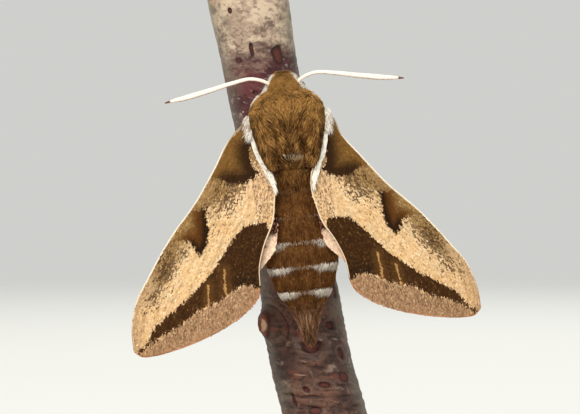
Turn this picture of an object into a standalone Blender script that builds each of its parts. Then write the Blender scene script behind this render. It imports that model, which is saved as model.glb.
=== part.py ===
# Resting spurge hawk-moth on a cut length of branch, held up by a plain display stand.
# Metres, +Z up, the moth's back faces -Y. The moth is drawn in its own frame: x across the
# body, y from back to belly, z towards the head, in millimetres from the middle of the thorax.
import math

import bmesh
import bpy
import numpy as np
from mathutils import Matrix, Vector

MM = 0.001
GAP = 0.3
SIDES = ((1, "right"), (-1, "left"))

# Placing of the moth and of its perch
MOTH_ORIGIN = (-2.47, -7.0, 56.6)
MOTH_TILT_DEG = -6.0
BRANCH_Y = 5.9
# The branch: height, middle across, radius
BRANCH = [
    (13.5, 3.45, 6.1),
    (24.9, 0.5, 5.95),
    (33.5, -0.95, 5.65),
    (46.4, -2.95, 5.5),
    (56.4, -4.75, 5.45),
    (65.0, -6.5, 5.4),
    (75.1, -8.1, 5.85),
    (78.0, -8.6, 5.9),
]
# Swollen bud scars: height, angle round the branch from the front, rise, half height, half angle
KNOTS = [
    (27.7, -80.0, 1.05, 2.6, 24.0),
    (25.8, 6.0, 0.3, 1.5, 14.0),
    (64.0, 118.0, 0.5, 1.8, 20.0),
]
KNOT_HOLLOW = 0.45

# Stand
BASE_RADIUS = 30.0
BASE_HEIGHT = 5.0
ROD_RADIUS = 1.6

# Body sections: place along the body, half width, half depth, depth of the centre
HEAD = [
    (4.3, 2.9, 2.8, 0.15),
    (4.8, 3.1, 2.9, 0.25),
    (5.4, 2.85, 2.6, 0.35),
    (6.1, 2.35, 2.2, 0.5),
    (6.8, 1.8, 1.6, 0.6),
    (7.3, 1.1, 0.95, 0.65),
    (7.6, 0.5, 0.45, 0.65),
]
THORAX = [
    (4.0, 3.3, 3.0, 0.15),
    (3.7, 4.0, 3.75, 0.05),
    (3.2, 4.55, 4.3, -0.05),
    (2.4, 4.85, 4.8, -0.15),
    (1.2, 4.9, 5.0, -0.3),
    (-0.5, 4.7, 5.0, -0.3),
    (-2.0, 4.4, 4.8, -0.25),
    (-3.6, 4.05, 4.45, -0.15),
    (-5.2, 3.5, 3.9, 0.1),
    (-6.2, 2.9, 3.2, 0.4),
]
ABDOMEN = [
    (-6.5, 3.6, 3.4, 0.6),
    (-9.0, 4.5, 3.9, 0.9),
    (-13.0, 4.95, 4.2, 1.1),
    (-17.5, 5.1, 4.25, 1.2),
    (-20.0, 4.75, 3.9, 1.2),
    (-22.3, 4.1, 3.4, 1.3),
    (-25.1, 2.45, 2.2, 1.6),
    (-27.0, 1.7, 1.6, 1.9),
    (-28.6, 1.15, 1.0, 2.1),
]
SEGMENT_ENDS = (-9.3, -12.8, -16.3, -19.6, -23.2, -25.3)
SEGMENT_STEP = 0.16

EYE_CENTRE = (2.0, 1.6, 5.32)
EYE_RADIUS = 1.0

# Forewing: a shallow roof, its outline seen square to the back
ROOF_HEIGHT = 3.75
ROOF_SLOPE = 0.2
ROOF_BEND = 0.004
WING_THICKNESS = 0.52
VEIN_HEIGHT = 0.16
VEIN_HALF_WIDTH = 0.26
FORE_HINGE_Z = (1.4, -2.3)
FORE_COSTA = [
    (6.1, 0.4), (7.0, -1.8), (9.4, -5.1), (12.4, -9.0), (16.8, -13.6), (20.4, -18.2),
    (22.8, -21.7), (23.8, -25.1), (24.0, -27.9),
]
FORE_INNER = [
    (3.1, -5.0), (2.4, -7.4), (2.3, -9.2), (2.6, -10.8), (3.2, -13.3), (4.9, -16.5),
    (5.9, -19.2), (6.2, -21.7),
]
FORE_OUTER = [
    (6.7, -23.0), (8.7, -24.9), (11.3, -26.3), (15.3, -27.7), (18.6, -28.45), (21.4, -28.8),
    (23.0, -28.7),
]
# How the left forewing differs from the right: size, swing back in degrees, centre moved
LEFT_SIZE = 1.0375
LEFT_SWING_DEG = 3.2
LEFT_CENTRES = ((15.1, -20.1), (15.4, -20.5))
# Veins: share of the width at the base, share at the outer margin, place along where each starts
FORE_VEINS = [
    (0.20, 0.08, 0.0),
    (0.38, 0.21, 0.25),
    (0.42, 0.33, 0.0),
    (0.48, 0.44, 0.46),
    (0.55, 0.55, 0.46),
    (0.62, 0.66, 0.46),
    (0.70, 0.76, 0.0),
    (0.78, 0.86, 0.3),
    (0.86, 0.94, 0.0),
]
CELL_END = 0.46
CELL_VEINS = (2, 6)
FORE_STATIONS = (0.0, 0.07, 0.16, 0.26, 0.36, 0.435, 0.46, 0.485, 0.57, 0.67, 0.77, 0.87, 0.95, 1.0)

# Hindwing, folded under the forewing, its inner edge showing over the abdomen's side
HIND_DROP = 0.85
HIND_HINGE_Z = (-2.9, -5.4)
HIND_COSTA = [(7.0, -6.0), (11.5, -11.0), (15.6, -16.0), (17.4, -19.6), (17.3, -21.4)]
HIND_INNER = [(3.15, -8.0), (2.95, -12.0), (3.1, -15.0), (3.7, -16.9), (4.5, -17.8)]
HIND_OUTER = [(6.6, -19.9), (9.6, -22.2), (13.2, -23.4), (16.2, -22.7)]
HIND_VEINS = [
    (0.22, 0.14, 0.0),
    (0.40, 0.34, 0.0),
    (0.52, 0.50, 0.45),
    (0.64, 0.66, 0.45),
    (0.80, 0.84, 0.0),
]
HIND_STATIONS = (0.0, 0.12, 0.27, 0.42, 0.45, 0.48, 0.62, 0.77, 0.9, 1.0)

# Antenna: centre line and thickness from root to hooked tip
ANTENNA_LINE = [
    (2.15, -0.85, 6.0), (4.2, -1.5, 6.8), (6.95, -1.9, 6.5), (9.5, -2.0, 5.95),
    (11.8, -1.9, 5.5), (13.8, -1.7, 5.15), (15.5, -1.4, 4.95), (16.2, -1.2, 4.85),
]
ANTENNA_RADII = (0.26, 0.27, 0.3, 0.33, 0.37, 0.4, 0.34, 0.12)

# Shoulder plate: place along, inner edge, outer edge
TEGULA = [
    (3.7, 3.5, 4.0),
    (3.1, 3.2, 4.75),
    (2.2, 3.0, 5.15),
    (1.0, 2.8, 5.25),
    (-0.2, 2.65, 5.0),
    (-1.5, 2.65, 4.7),
    (-3.0, 2.7, 4.4),
    (-4.5, 2.75, 3.85),
    (-5.8, 2.95, 3.15),
]
TEGULA_THICKNESS = 0.55
# White tuft over the wing's root: places of its locks along the shoulder plate, and their reach
TUFT_PLACES = (2.3, 1.75, 1.2, 0.65, 0.1, -0.45, -1.0)
TUFT_REACH = (1.35, -1.75)

# Legs: root and knee in the moth's frame, angle of the foot round the branch, heights of heel and toe
LEGS = {
    "front_right": ((1.5, 4.35, 2.4), (3.9, 5.6, 2.5), 46.0, 0.9, 3.2),
    "front_left": ((-1.5, 4.35, 2.4), (-4.2, 5.5, 2.5), -26.0, 0.7, 3.0),
    "middle_right": ((2.0, 4.35, -0.8), (4.9, 5.7, -2.2), 52.0, -4.6, -7.2),
    "middle_left": ((-2.0, 4.35, -0.8), (-6.0, 5.8, -2.2), -50.0, -4.6, -7.2),
    "rear_right": ((1.7, 4.3, -4.0), (5.2, 6.3, -7.8), 56.0, -12.2, -15.4),
    "rear_left": ((-1.7, 4.3, -4.0), (-6.4, 6.3, -7.8), -56.0, -12.2, -15.4),
}
THIGH_RADIUS = 0.46
TIBIA_RADIUS = 0.38
FOOT_RADIUS = 0.27


def clear_scene():
    for old in list(bpy.data.objects):
        bpy.data.objects.remove(old, do_unlink=True)


def new_collection(name):
    made = bpy.data.collections.new(name)
    bpy.context.scene.collection.children.link(made)
    return made


def material(name, colour, roughness, metallic=0.0):
    made = bpy.data.materials.new(name)
    made.use_nodes = True
    shader = made.node_tree.nodes["Principled BSDF"]
    shader.inputs["Base Color"].default_value = (*colour, 1.0)
    shader.inputs["Roughness"].default_value = roughness
    shader.inputs["Metallic"].default_value = metallic
    made.diffuse_color = (*colour, 1.0)
    return made


def through(keys, values, at):
    """Smooth values at places between the keys, which rise, passing through each."""
    keys, values = np.asarray(keys, float), np.asarray(values, float)
    slope = np.gradient(values, keys, axis=0)
    at = np.clip(np.atleast_1d(np.asarray(at, float)), keys[0], keys[-1])
    k = np.clip(np.searchsorted(keys, at, side="right") - 1, 0, len(keys) - 2)
    span = (keys[k + 1] - keys[k])[:, None]
    t = (at - keys[k])[:, None] / span
    rise = 3 * t**2 - 2 * t**3
    start = values[k] + span * slope[k] * (t**3 - 2 * t**2 + t)
    return start + rise * (values[k + 1] - values[k]) + span * slope[k + 1] * (t**3 - t**2)


def curve_through(points, places):
    """Smooth line through the points, at shares of its length."""
    points = np.array(points, float)
    chord = np.r_[0, np.cumsum(np.linalg.norm(np.diff(points, axis=0), axis=1))]
    return through(chord, points, np.asarray(places, float) * chord[-1])


def section(table, z):
    """The other columns of a table at one value of its first column."""
    rows = np.array(sorted(table), float)
    return through(rows[:, 0], rows[:, 1:], z)[0]


def back_of(table, x, z):
    """Depth of a body part's back surface at a place across and along it."""
    width, depth, centre = section(table, z)
    return centre - depth * math.sqrt(max(1 - (x / width) ** 2, 0))


def body_back(x, z):
    if z > -6.35:
        return back_of(THORAX, x, z)
    return back_of(ABDOMEN, x, z) - SEGMENT_STEP


def roof(x):
    """Depth of the forewing's middle surface."""
    out = abs(x) - 3.0
    return -ROOF_HEIGHT + ROOF_SLOPE * out + ROOF_BEND * max(out, 0) ** 2


def hind_level(x, z):
    lowest = body_back(x, z) - GAP - WING_THICKNESS / 2 if z > -24 else 9.0
    return min(roof(x) + HIND_DROP, lowest)


def branch_at(z):
    """Middle across and radius of the branch at a height."""
    return section(BRANCH, z)


def moth_matrix():
    turn = Matrix.Rotation(math.radians(MOTH_TILT_DEG), 4, "Y")
    return Matrix.Translation(Vector(MOTH_ORIGIN)) @ turn


def on_branch(angle_deg, z, clear):
    """Point outside the branch in the moth's frame, by its angle round the branch from the front."""
    inverse = moth_matrix().inverted()
    height = MOTH_ORIGIN[2] + z * math.cos(math.radians(MOTH_TILT_DEG))
    middle, radius = branch_at(height)
    reach = radius + clear
    angle = math.radians(angle_deg)
    world = Vector((
        middle + reach * math.sin(angle),
        BRANCH_Y - reach * math.cos(angle),
        height,
    ))
    return inverse @ world


class Maker:
    """Holds the collection, the parent empty and the helpers that add one named part each."""

    def __init__(self):
        self.group = new_collection("spurge_hawk_moth")
        self.frame = bpy.data.objects.new("moth_frame", None)
        self.group.objects.link(self.frame)
        self.frame.location = [value * MM for value in MOTH_ORIGIN]
        self.frame.rotation_euler = (0, math.radians(MOTH_TILT_DEG), 0)

    def place(self, obj, surface, on_moth=True):
        self.group.objects.link(obj)
        obj.data.materials.clear()
        obj.data.materials.append(surface)
        if on_moth:
            obj.parent = self.frame
        if obj.type == "MESH":
            obj.data.shade_smooth()
            obj.data.set_sharp_from_angle(angle=math.radians(50))
        return obj

    def mesh(self, name, points, faces, surface, on_moth=True):
        obj = bare_mesh(name, points, faces)
        return self.place(obj, surface, on_moth)

    def tube(self, name, points, radii, surface, steps=12, on_moth=True):
        obj = bare_tube(name, points, radii, steps)
        return self.place(obj, surface, on_moth)


def bare_mesh(name, points, faces):
    data = bpy.data.meshes.new(name)
    data.from_pydata([tuple(np.array(p, float) * MM) for p in points], [], faces)
    shape = bmesh.new()
    shape.from_mesh(data)
    bmesh.ops.remove_doubles(shape, verts=shape.verts, dist=1e-6)
    bmesh.ops.recalc_face_normals(shape, faces=shape.faces)
    shape.to_mesh(data)
    shape.free()
    return bpy.data.objects.new(name, data)


def bare_tube(name, points, radii, steps):
    places = np.linspace(0, 1, steps)
    line = curve_through(points, places)
    thick = np.interp(places, np.linspace(0, 1, len(radii)), radii)
    data = bpy.data.curves.new(name, "CURVE")
    data.dimensions = "3D"
    data.bevel_depth = MM
    data.bevel_resolution = 2
    data.use_fill_caps = True
    spline = data.splines.new("POLY")
    spline.points.add(steps - 1)
    for point, place, size in zip(spline.points, line, thick):
        point.co = (*(place * MM), 1.0)
        point.radius = size
    return bpy.data.objects.new(name, data)


def ring(table, z, count, swell=0.0):
    width, depth, centre = section(table, z)
    turns = np.linspace(0, 2 * math.pi, count, endpoint=False)
    return np.stack(
        [
            (width + swell) * np.sin(turns),
            centre - (depth + swell) * np.cos(turns),
            np.full(count, z),
        ],
        axis=1,
    )


def lofted(rings):
    """Points and faces of rings joined in order, each end closed on a middle point."""
    count = len(rings[0])
    points = [p for one in rings for p in one]
    faces = []
    for i in range(len(rings) - 1):
        for j in range(count):
            k = (j + 1) % count
            faces.append((i * count + j, i * count + k, (i + 1) * count + k, (i + 1) * count + j))
    for end, start in ((0, 0), (len(rings) - 1, (len(rings) - 1) * count)):
        middle = len(points)
        points.append(np.mean(rings[end], axis=0))
        for j in range(count):
            faces.append((start + j, start + (j + 1) % count, middle))
    return points, faces


def converted(obj):
    """The object as a plain mesh, its seams joined."""
    bpy.context.scene.collection.objects.link(obj)
    graph = bpy.context.evaluated_depsgraph_get()
    data = bpy.data.meshes.new_from_object(obj.evaluated_get(graph))
    shape = bmesh.new()
    shape.from_mesh(data)
    bmesh.ops.remove_doubles(shape, verts=shape.verts, dist=1e-6)
    bmesh.ops.recalc_face_normals(shape, faces=shape.faces)
    shape.to_mesh(data)
    shape.free()
    name = obj.name
    bpy.data.objects.remove(obj, do_unlink=True)
    return bpy.data.objects.new(name, data)


def largest_surface(data):
    """Keeps only the largest closed surface of a mesh."""
    shape = bmesh.new()
    shape.from_mesh(data)
    shape.verts.ensure_lookup_table()
    left = set(shape.verts)
    shells = []
    while left:
        todo = [left.pop()]
        shell = set(todo)
        while todo:
            for edge in todo.pop().link_edges:
                for vert in edge.verts:
                    if vert not in shell:
                        shell.add(vert)
                        todo.append(vert)
        left -= shell
        shells.append(shell)
    shells.sort(key=len)
    for shell in shells[:-1]:
        bmesh.ops.delete(shape, geom=list(shell), context="VERTS")
    bmesh.ops.recalc_face_normals(shape, faces=shape.faces)
    shape.to_mesh(data)
    shape.free()


def combine(body, others, operation="UNION", solver="EXACT"):
    """Joins the other meshes to the body, or cuts them from it, in one Boolean."""
    helpers = new_collection(body.name + "_pieces")
    helpers.hide_render = True
    for other in others:
        helpers.objects.link(other)
        other.display_type = "WIRE"
        other.hide_render = True
    bpy.context.scene.collection.objects.link(body)
    change = body.modifiers.new("pieces", "BOOLEAN")
    change.operation = operation
    change.operand_type = "COLLECTION"
    change.collection = helpers
    change.solver = solver
    bpy.context.view_layer.update()
    graph = bpy.context.evaluated_depsgraph_get()
    data = bpy.data.meshes.new_from_object(body.evaluated_get(graph))
    name = body.name
    bpy.data.objects.remove(body, do_unlink=True)
    for other in others:
        bpy.data.objects.remove(other, do_unlink=True)
    bpy.data.collections.remove(helpers)
    largest_surface(data)
    return bpy.data.objects.new(name, data)


def ball(name, centre, radius):
    data = bpy.data.meshes.new(name)
    shape = bmesh.new()
    bmesh.ops.create_uvsphere(shape, u_segments=20, v_segments=12, radius=radius * MM)
    bmesh.ops.translate(shape, verts=shape.verts, vec=Vector(centre) * MM)
    shape.to_mesh(data)
    shape.free()
    return bpy.data.objects.new(name, data)


def lock(name, path, width, thickness, flat, stations=4):
    """Flat tapered lock along a bent path, its broad side square to the flat direction."""
    places = np.linspace(0, 1, stations + 1)
    line = curve_through(path, places)
    flat = np.array(flat, float) / np.linalg.norm(flat)
    rings = []
    for i in range(stations):
        along = line[i + 1] - line[max(i - 1, 0)]
        side = np.cross(along, flat)
        side /= np.linalg.norm(side)
        taper = 1 - (places[i] / 1.02) ** 1.6
        wide, thick = side * width / 2 * taper, flat * thickness / 2 * max(taper, 0.5)
        rings.append(np.array([line[i] + wide, line[i] + thick, line[i] - wide, line[i] - thick]))
    points, faces = lofted(rings)
    points[-1] = line[-1]
    return bare_mesh(name, points, faces)


def margins(side, costa, inner, outer, hinge, hinge_y):
    """The wing's four edges as functions of a share along each, for one side."""
    def own(points):
        points = np.array(points, float)
        if side > 0:
            return points
        old, new = (np.array(c) for c in LEFT_CENTRES)
        a = math.radians(LEFT_SWING_DEG)
        turn = np.array([[math.cos(a), math.sin(a)], [-math.sin(a), math.cos(a)]])
        return LEFT_SIZE * (points - old) @ turn.T + new

    roots = []
    for z in hinge:
        width, depth, centre = section(THORAX, z)
        reach = width * math.sqrt(1 - ((hinge_y - centre) / depth) ** 2) + GAP + 0.1
        roots.append((reach, z))
    front = [roots[0], *own(costa)]
    back = [roots[1], *own(inner)]
    rim = [back[-1], *own(outer), front[-1]]
    return front, back, rim


def wing_grid(veins, stations, edges, cell_end=None, cell=(-1, -1)):
    """Places and vein heights of a wing, its columns laid along the veins."""
    front, back, rim = edges
    costa = curve_through(front, stations)
    inner = curve_through(back, stations)
    rows, lifts = [], []
    for i, p in enumerate(stations):
        span = np.linalg.norm(costa[i] - inner[i])
        shares = [low + (high - low) * p for low, high, _ in veins]
        ends = [0.0, *shares, 1.0]
        row, lift = [0.0], [0.0]
        for k, q in enumerate(shares):
            foot = min(VEIN_HALF_WIDTH / span, 0.3 * (q - ends[k]), 0.3 * (ends[k + 2] - q))
            crossing = p == cell_end and cell[0] <= k <= cell[1]
            rise = (foot * span / VEIN_HALF_WIDTH) ** 2
            row += [q - foot, q, q + foot]
            lift += [
                rise if crossing and k > cell[0] else 0.0,
                rise if p >= veins[k][2] else 0.0,
                rise if crossing and k < cell[1] else 0.0,
            ]
        q = np.array([*row, 1.0])[:, None]
        across = (1 - q) * inner[i] + q * costa[i]
        along = (1 - p) * (inner[0] + q * (costa[0] - inner[0])) + p * curve_through(rim, q[:, 0])
        low = (1 - q) * inner[0] + q * costa[0]
        high = (1 - q) * inner[-1] + q * costa[-1]
        rows.append(across + along - (1 - p) * low - p * high)
        lifts.append([*lift, 0.0])
    return rows, lifts


def sheet(name, rows, depths, thickness):
    """Thin closed sheet over a grid of places, its two faces split into triangles alike."""
    count, width = len(rows), len(rows[0])
    points = [(x, y, z) for row, depth in zip(rows, depths) for (x, z), y in zip(row, depth)]
    faces = []
    for i in range(count - 1):
        for j in range(width - 1):
            a, b = i * width + j, i * width + j + 1
            faces += [(a, b, b + width), (a, b + width, a + width)]
    obj = bare_mesh(name, points, faces)
    wall = obj.modifiers.new("wall", "SOLIDIFY")
    wall.thickness = thickness * MM
    wall.offset = 0.0
    return obj


def mirrored(points, side):
    return [(side * x, y, z) for x, y, z in points]


def wing(name, side, rows, lifts, level):
    """One wing: its sheet follows the level, raised along the veins."""
    depths = [
        [level(x, z) - VEIN_HEIGHT * lift for (x, z), lift in zip(row, up)]
        for row, up in zip(rows, lifts)
    ]
    rows = [[(side * x, z) for x, z in row] for row in rows]
    return sheet(name, rows, depths, WING_THICKNESS)


def add_wings(make, skins):
    hinge_y = roof(3.6)
    for side, word in SIDES:
        edges = margins(side, FORE_COSTA, FORE_INNER, FORE_OUTER, FORE_HINGE_Z, hinge_y)
        rows, lifts = wing_grid(FORE_VEINS, FORE_STATIONS, edges, CELL_END, CELL_VEINS)
        fore = wing("forewing_" + word, side, rows, lifts, lambda x, z: roof(x))
        make.place(fore, skins["forewing"])
        edges = margins(1, HIND_COSTA, HIND_INNER, HIND_OUTER, HIND_HINGE_Z, hinge_y + HIND_DROP)
        rows, lifts = wing_grid(HIND_VEINS, HIND_STATIONS, edges)
        hind = wing("hindwing_" + word, side, rows, lifts, hind_level)
        make.place(hind, skins["hindwing"])


def add_body(make, skins):
    around = 28
    rings = [ring(THORAX, z, around) for z in (4.0, 3.85, 3.6, *np.linspace(3.2, -6.2, 14))]
    points, faces = lofted(rings)
    make.mesh("thorax", points, faces, skins["fur"])

    places = [-6.5, -7.8]
    rings = [ring(ABDOMEN, z, around) for z in places]
    last = -7.8
    for end in SEGMENT_ENDS:
        middle = (last + end) / 2
        if last != -7.8:
            rings.append(ring(ABDOMEN, last - 0.5, around, SEGMENT_STEP * 0.35))
        rings.append(ring(ABDOMEN, middle - 0.3, around, SEGMENT_STEP * 0.7))
        rings.append(ring(ABDOMEN, end, around, SEGMENT_STEP))
        rings.append(ring(ABDOMEN, end - 0.12, around, 0.0))
        last = end
    for z in (-26.2, -27.0, -27.8, -28.6):
        rings.append(ring(ABDOMEN, z, around, 0.0))
    points, faces = lofted(rings)
    trunk = bare_mesh("abdomen", points, faces)
    tuft = []
    for k in range(9):
        turn = 2 * math.pi * k / 9 + 0.2
        out = np.array([math.sin(turn), -0.55 * math.cos(turn), 0])
        root = np.array([0, 2.0, -27.6]) + out * 0.75
        reach = 2.3 + 0.5 * math.cos(3 * turn)
        tip = np.array([0, 2.4, -28.2 - reach]) + out * 0.75
        middle = (root + tip) / 2 + out * 0.35
        tuft.append(lock("tail_lock", [root, middle, tip], 1.1, 0.6, out))
    make.place(combine(trunk, tuft), skins["fur"])

    rings = [ring(HEAD, z, around) for z in (4.3, 4.6, 5.0, 5.5, 6.0, 6.5, 6.9, 7.2, 7.45, 7.6)]
    points, faces = lofted(rings)
    head = bare_mesh("head", points, faces)
    sockets = []
    for side, word in SIDES:
        centre = mirrored([EYE_CENTRE], side)[0]
        sockets.append(ball("socket_" + word, centre, EYE_RADIUS + GAP))
    make.place(combine(head, sockets, "DIFFERENCE"), skins["fur"])
    for side, word in SIDES:
        centre = mirrored([EYE_CENTRE], side)[0]
        make.place(ball("eye_" + word, centre, EYE_RADIUS), skins["eye"])
        palp = [(1.05, 4.0, 4.9), (1.08, 3.75, 6.2), (0.95, 3.0, 7.1), (0.75, 2.2, 7.45)]
        make.tube("palp_" + word, mirrored(palp, side), (0.35, 0.5, 0.46, 0.28), skins["fur"], 8)
        line = mirrored(ANTENNA_LINE, side)
        make.tube("antenna_" + word, line, ANTENNA_RADII, skins["antenna"], 22)
    coil = []
    for step in range(34):
        turn = step / 33
        angle = math.radians(75) + turn * 2 * math.pi * 1.7
        reach = 1.35 - 1.0 * turn
        coil.append((0.0, 4.75 - reach * math.sin(angle), 5.35 + reach * math.cos(angle)))
    make.tube("proboscis", coil, (0.25, 0.22, 0.2), skins["horn"], 34)


def tegula_level(x, z):
    """Depth of a shoulder plate: over the thorax in front, over the wing's root behind."""
    half = TEGULA_THICKNESS / 2
    over_thorax = back_of(THORAX, x, z) - GAP - half - 0.08
    over_wing = roof(x) - WING_THICKNESS / 2 - VEIN_HEIGHT - GAP - half
    if z < FORE_HINGE_Z[0] + 0.6:
        over_thorax = min(over_thorax, over_wing)
    return min(over_thorax, -2.5)


def add_tegulae(make, skins):
    table = np.array(sorted(TEGULA), float)
    for side, word in SIDES:
        rows, depths = [], []
        for z in np.linspace(TEGULA[0][0], TEGULA[-1][0], 14):
            inner = np.interp(z, table[:, 0], table[:, 1])
            outer = np.interp(z, table[:, 0], table[:, 2])
            across = np.linspace(inner, outer, 7)
            rows.append([(side * x, z) for x in across])
            depths.append([tegula_level(x, z) for x in across])
        plate = converted(sheet("tegula_" + word, rows, depths, TEGULA_THICKNESS))
        tuft = []
        for place, z in enumerate(TUFT_PLACES):
            edge = np.interp(z, table[:, 0], table[:, 2])
            level = tegula_level(edge - 0.35, z)
            spread = 0.15 * math.sin(2.4 * place)
            path = [
                (edge - 0.85, level + 0.03, z + 0.45),
                (edge + 0.35, level - 0.05, z + 0.5 * TUFT_REACH[1] + 0.25),
                (edge + TUFT_REACH[0] + spread, level + 0.3, z + TUFT_REACH[1] - spread),
            ]
            tuft.append(lock("tuft_lock", mirrored(path, side), 0.85, 0.42, (0, -1, 0)))
        make.place(combine(plate, tuft, solver="MANIFOLD"), skins["fur"])


def add_legs(make, skins):
    for name, (root, knee, angle, heel_z, toe_z) in LEGS.items():
        root, knee = np.array(root), np.array(knee)
        start = root + np.array([0, GAP, 0])
        heel = np.array(on_branch(angle, heel_z, GAP + 0.45 + FOOT_RADIUS))
        toe = np.array(on_branch(angle * 0.94, toe_z, GAP + 0.12 + FOOT_RADIUS))
        bend = (start + knee) / 2 + np.array([0, 0.1, 0.3])
        along = (knee - start) / np.linalg.norm(knee - start)
        upper = [start, bend, knee - along * 0.32]
        radii = (THIGH_RADIUS * 0.9, THIGH_RADIUS, THIGH_RADIUS * 0.9, 0.25)
        make.tube(f"leg_{name}_thigh", upper, radii, skins["leg"], 8)
        down = (heel - knee) / np.linalg.norm(heel - knee)
        shin = [knee + down * 0.3, (knee + heel) / 2 + np.array([0, -0.15, 0]), heel - down * 0.3]
        radii = (0.25, TIBIA_RADIUS, TIBIA_RADIUS, 0.26)
        make.tube(f"leg_{name}_tibia", shin, radii, skins["leg"], 7)
        run = (toe - heel) / np.linalg.norm(toe - heel)
        foot = [heel + run * 0.3, (heel + toe) / 2 - np.array([0, 0.1, 0]), toe]
        make.tube(f"leg_{name}_foot", foot, (FOOT_RADIUS, FOOT_RADIUS, 0.2), skins["leg"], 6)


def bark(angle, z):
    """Radius of the branch at a place on it: a low grain and the swollen scars."""
    reach = branch_at(z)[1]
    reach += 0.07 * math.sin(5 * angle + 0.21 * z) + 0.05 * math.sin(3 * angle - 0.35 * z + 1.3)
    for height, turn, rise, half_height, half_angle in KNOTS:
        off = (math.degrees(angle) - turn + 180) % 360 - 180
        far = (off / half_angle) ** 2 + ((z - height) / half_height) ** 2
        reach += rise * (math.exp(-far) - KNOT_HOLLOW * math.exp(-8 * far))
    return reach


def add_perch(make, skins):
    turns = np.linspace(0, 2 * math.pi, 30, endpoint=False)
    heights = np.linspace(BRANCH[0][0], BRANCH[-1][0], 40)
    rings = []
    for z in heights:
        reach = np.array([bark(angle, z) for angle in turns])
        x = branch_at(z)[0] + reach * np.sin(turns)
        y = BRANCH_Y - reach * np.cos(turns)
        rings.append(np.stack([x, y, np.full(len(turns), z)], axis=1))
    points, faces = lofted(rings)
    make.mesh("perch", points, faces, skins["bark"], on_moth=False)


def add_stand(make, skins):
    profile = [
        (0.0, BASE_HEIGHT), (BASE_RADIUS - 2.2, BASE_HEIGHT), (BASE_RADIUS - 1.2, BASE_HEIGHT - 0.3),
        (BASE_RADIUS - 0.4, BASE_HEIGHT - 1.0), (BASE_RADIUS, BASE_HEIGHT - 2.0),
        (BASE_RADIUS, 0.5), (BASE_RADIUS - 0.5, 0.0), (0.0, 0.0),
    ]
    data = bpy.data.meshes.new("stand_base")
    data.from_pydata(
        [(x * MM, 0, z * MM) for x, z in profile], [(i, i + 1) for i in range(len(profile) - 1)], []
    )
    base = bpy.data.objects.new("stand_base", data)
    turn = base.modifiers.new("turned", "SCREW")
    turn.steps = turn.render_steps = 64
    turn.use_merge_vertices = True
    turn.merge_threshold = 0.00001
    turn.use_smooth_shade = True
    make.place(base, skins["lacquer"], on_moth=False)

    foot = BASE_HEIGHT + GAP
    head = BRANCH[0][0] - GAP
    bpy.ops.mesh.primitive_cylinder_add(vertices=32, radius=ROD_RADIUS * MM, depth=(head - foot) * MM)
    rod = bpy.context.object
    for owner in list(rod.users_collection):
        owner.objects.unlink(rod)
    rod.name = "stand_rod"
    rod.location = (BRANCH[0][1] * MM, BRANCH_Y * MM, (foot + head) / 2 * MM)
    make.place(rod, skins["steel"], on_moth=False)


def main():
    clear_scene()
    make = Maker()
    skins = {
        "fur": material("brown_fur", (0.18, 0.085, 0.025), 0.9),
        "forewing": material("wing_scales", (0.62, 0.42, 0.22), 0.75),
        "hindwing": material("hindwing_scales", (0.6, 0.3, 0.2), 0.75),
        "antenna": material("white_scales", (0.85, 0.78, 0.62), 0.7),
        "eye": material("compound_eye", (0.03, 0.018, 0.01), 0.2),
        "horn": material("proboscis_horn", (0.14, 0.06, 0.02), 0.4),
        "leg": material("leg_scales", (0.42, 0.3, 0.18), 0.8),
        "bark": material("bark", (0.16, 0.06, 0.035), 0.85),
        "lacquer": material("black_lacquer", (0.02, 0.02, 0.022), 0.35),
        "steel": material("brushed_rod", (0.55, 0.55, 0.56), 0.3, 1.0),
    }
    add_body(make, skins)
    add_tegulae(make, skins)
    add_wings(make, skins)
    add_legs(make, skins)
    add_perch(make, skins)
    add_stand(make, skins)


main()
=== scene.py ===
import math
import bpy
import numpy as np
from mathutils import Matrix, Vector, noise
from mathutils.bvhtree import BVHTree


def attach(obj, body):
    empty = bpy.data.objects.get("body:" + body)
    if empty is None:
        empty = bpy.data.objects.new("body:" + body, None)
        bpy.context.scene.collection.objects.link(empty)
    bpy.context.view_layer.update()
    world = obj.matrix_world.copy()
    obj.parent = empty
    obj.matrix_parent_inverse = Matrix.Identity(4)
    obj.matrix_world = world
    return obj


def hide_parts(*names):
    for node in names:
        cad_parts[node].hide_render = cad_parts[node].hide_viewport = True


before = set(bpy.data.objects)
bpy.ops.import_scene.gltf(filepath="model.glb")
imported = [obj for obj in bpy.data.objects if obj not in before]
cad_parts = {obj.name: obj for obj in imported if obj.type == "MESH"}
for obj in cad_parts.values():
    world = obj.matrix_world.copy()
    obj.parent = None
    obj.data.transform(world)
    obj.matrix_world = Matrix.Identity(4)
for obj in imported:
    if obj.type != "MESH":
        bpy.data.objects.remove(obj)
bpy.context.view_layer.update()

# Every length below is in mm. The moth's own frame has x across, y from the back to the
# belly and z towards the head, with its zero in the middle of the thorax.
mm = 0.001
mothPlace = {"origin": (-2.47, -7.0, 56.6), "leanDeg": -6.0}
rng = np.random.default_rng(41)
sides = ((1, "right"), (-1, "left"))


def toLinear(hexColour):
    values = [int(hexColour[i:i + 2], 16) / 255 for i in (1, 3, 5)]
    return (*[v / 12.92 if v <= 0.04045 else ((v + 0.055) / 1.055) ** 2.4 for v in values], 1.0)


def leaned(points, degrees):
    # points turned about y
    lean = math.radians(degrees)
    c, s = math.cos(lean), math.sin(lean)
    x, y, z = np.moveaxis(np.asarray(points, float), -1, 0)
    return np.stack([c * x + s * z, y, c * z - s * x], axis=-1)


def mothToWorld(points):
    return leaned(points, mothPlace["leanDeg"]) + mothPlace["origin"]


def worldToMoth(points):
    return leaned(np.asarray(points, float) - mothPlace["origin"], -mothPlace["leanDeg"])


def unit(vectors):
    return vectors / np.maximum(np.linalg.norm(vectors, axis=-1, keepdims=True), 1e-9)


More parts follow.
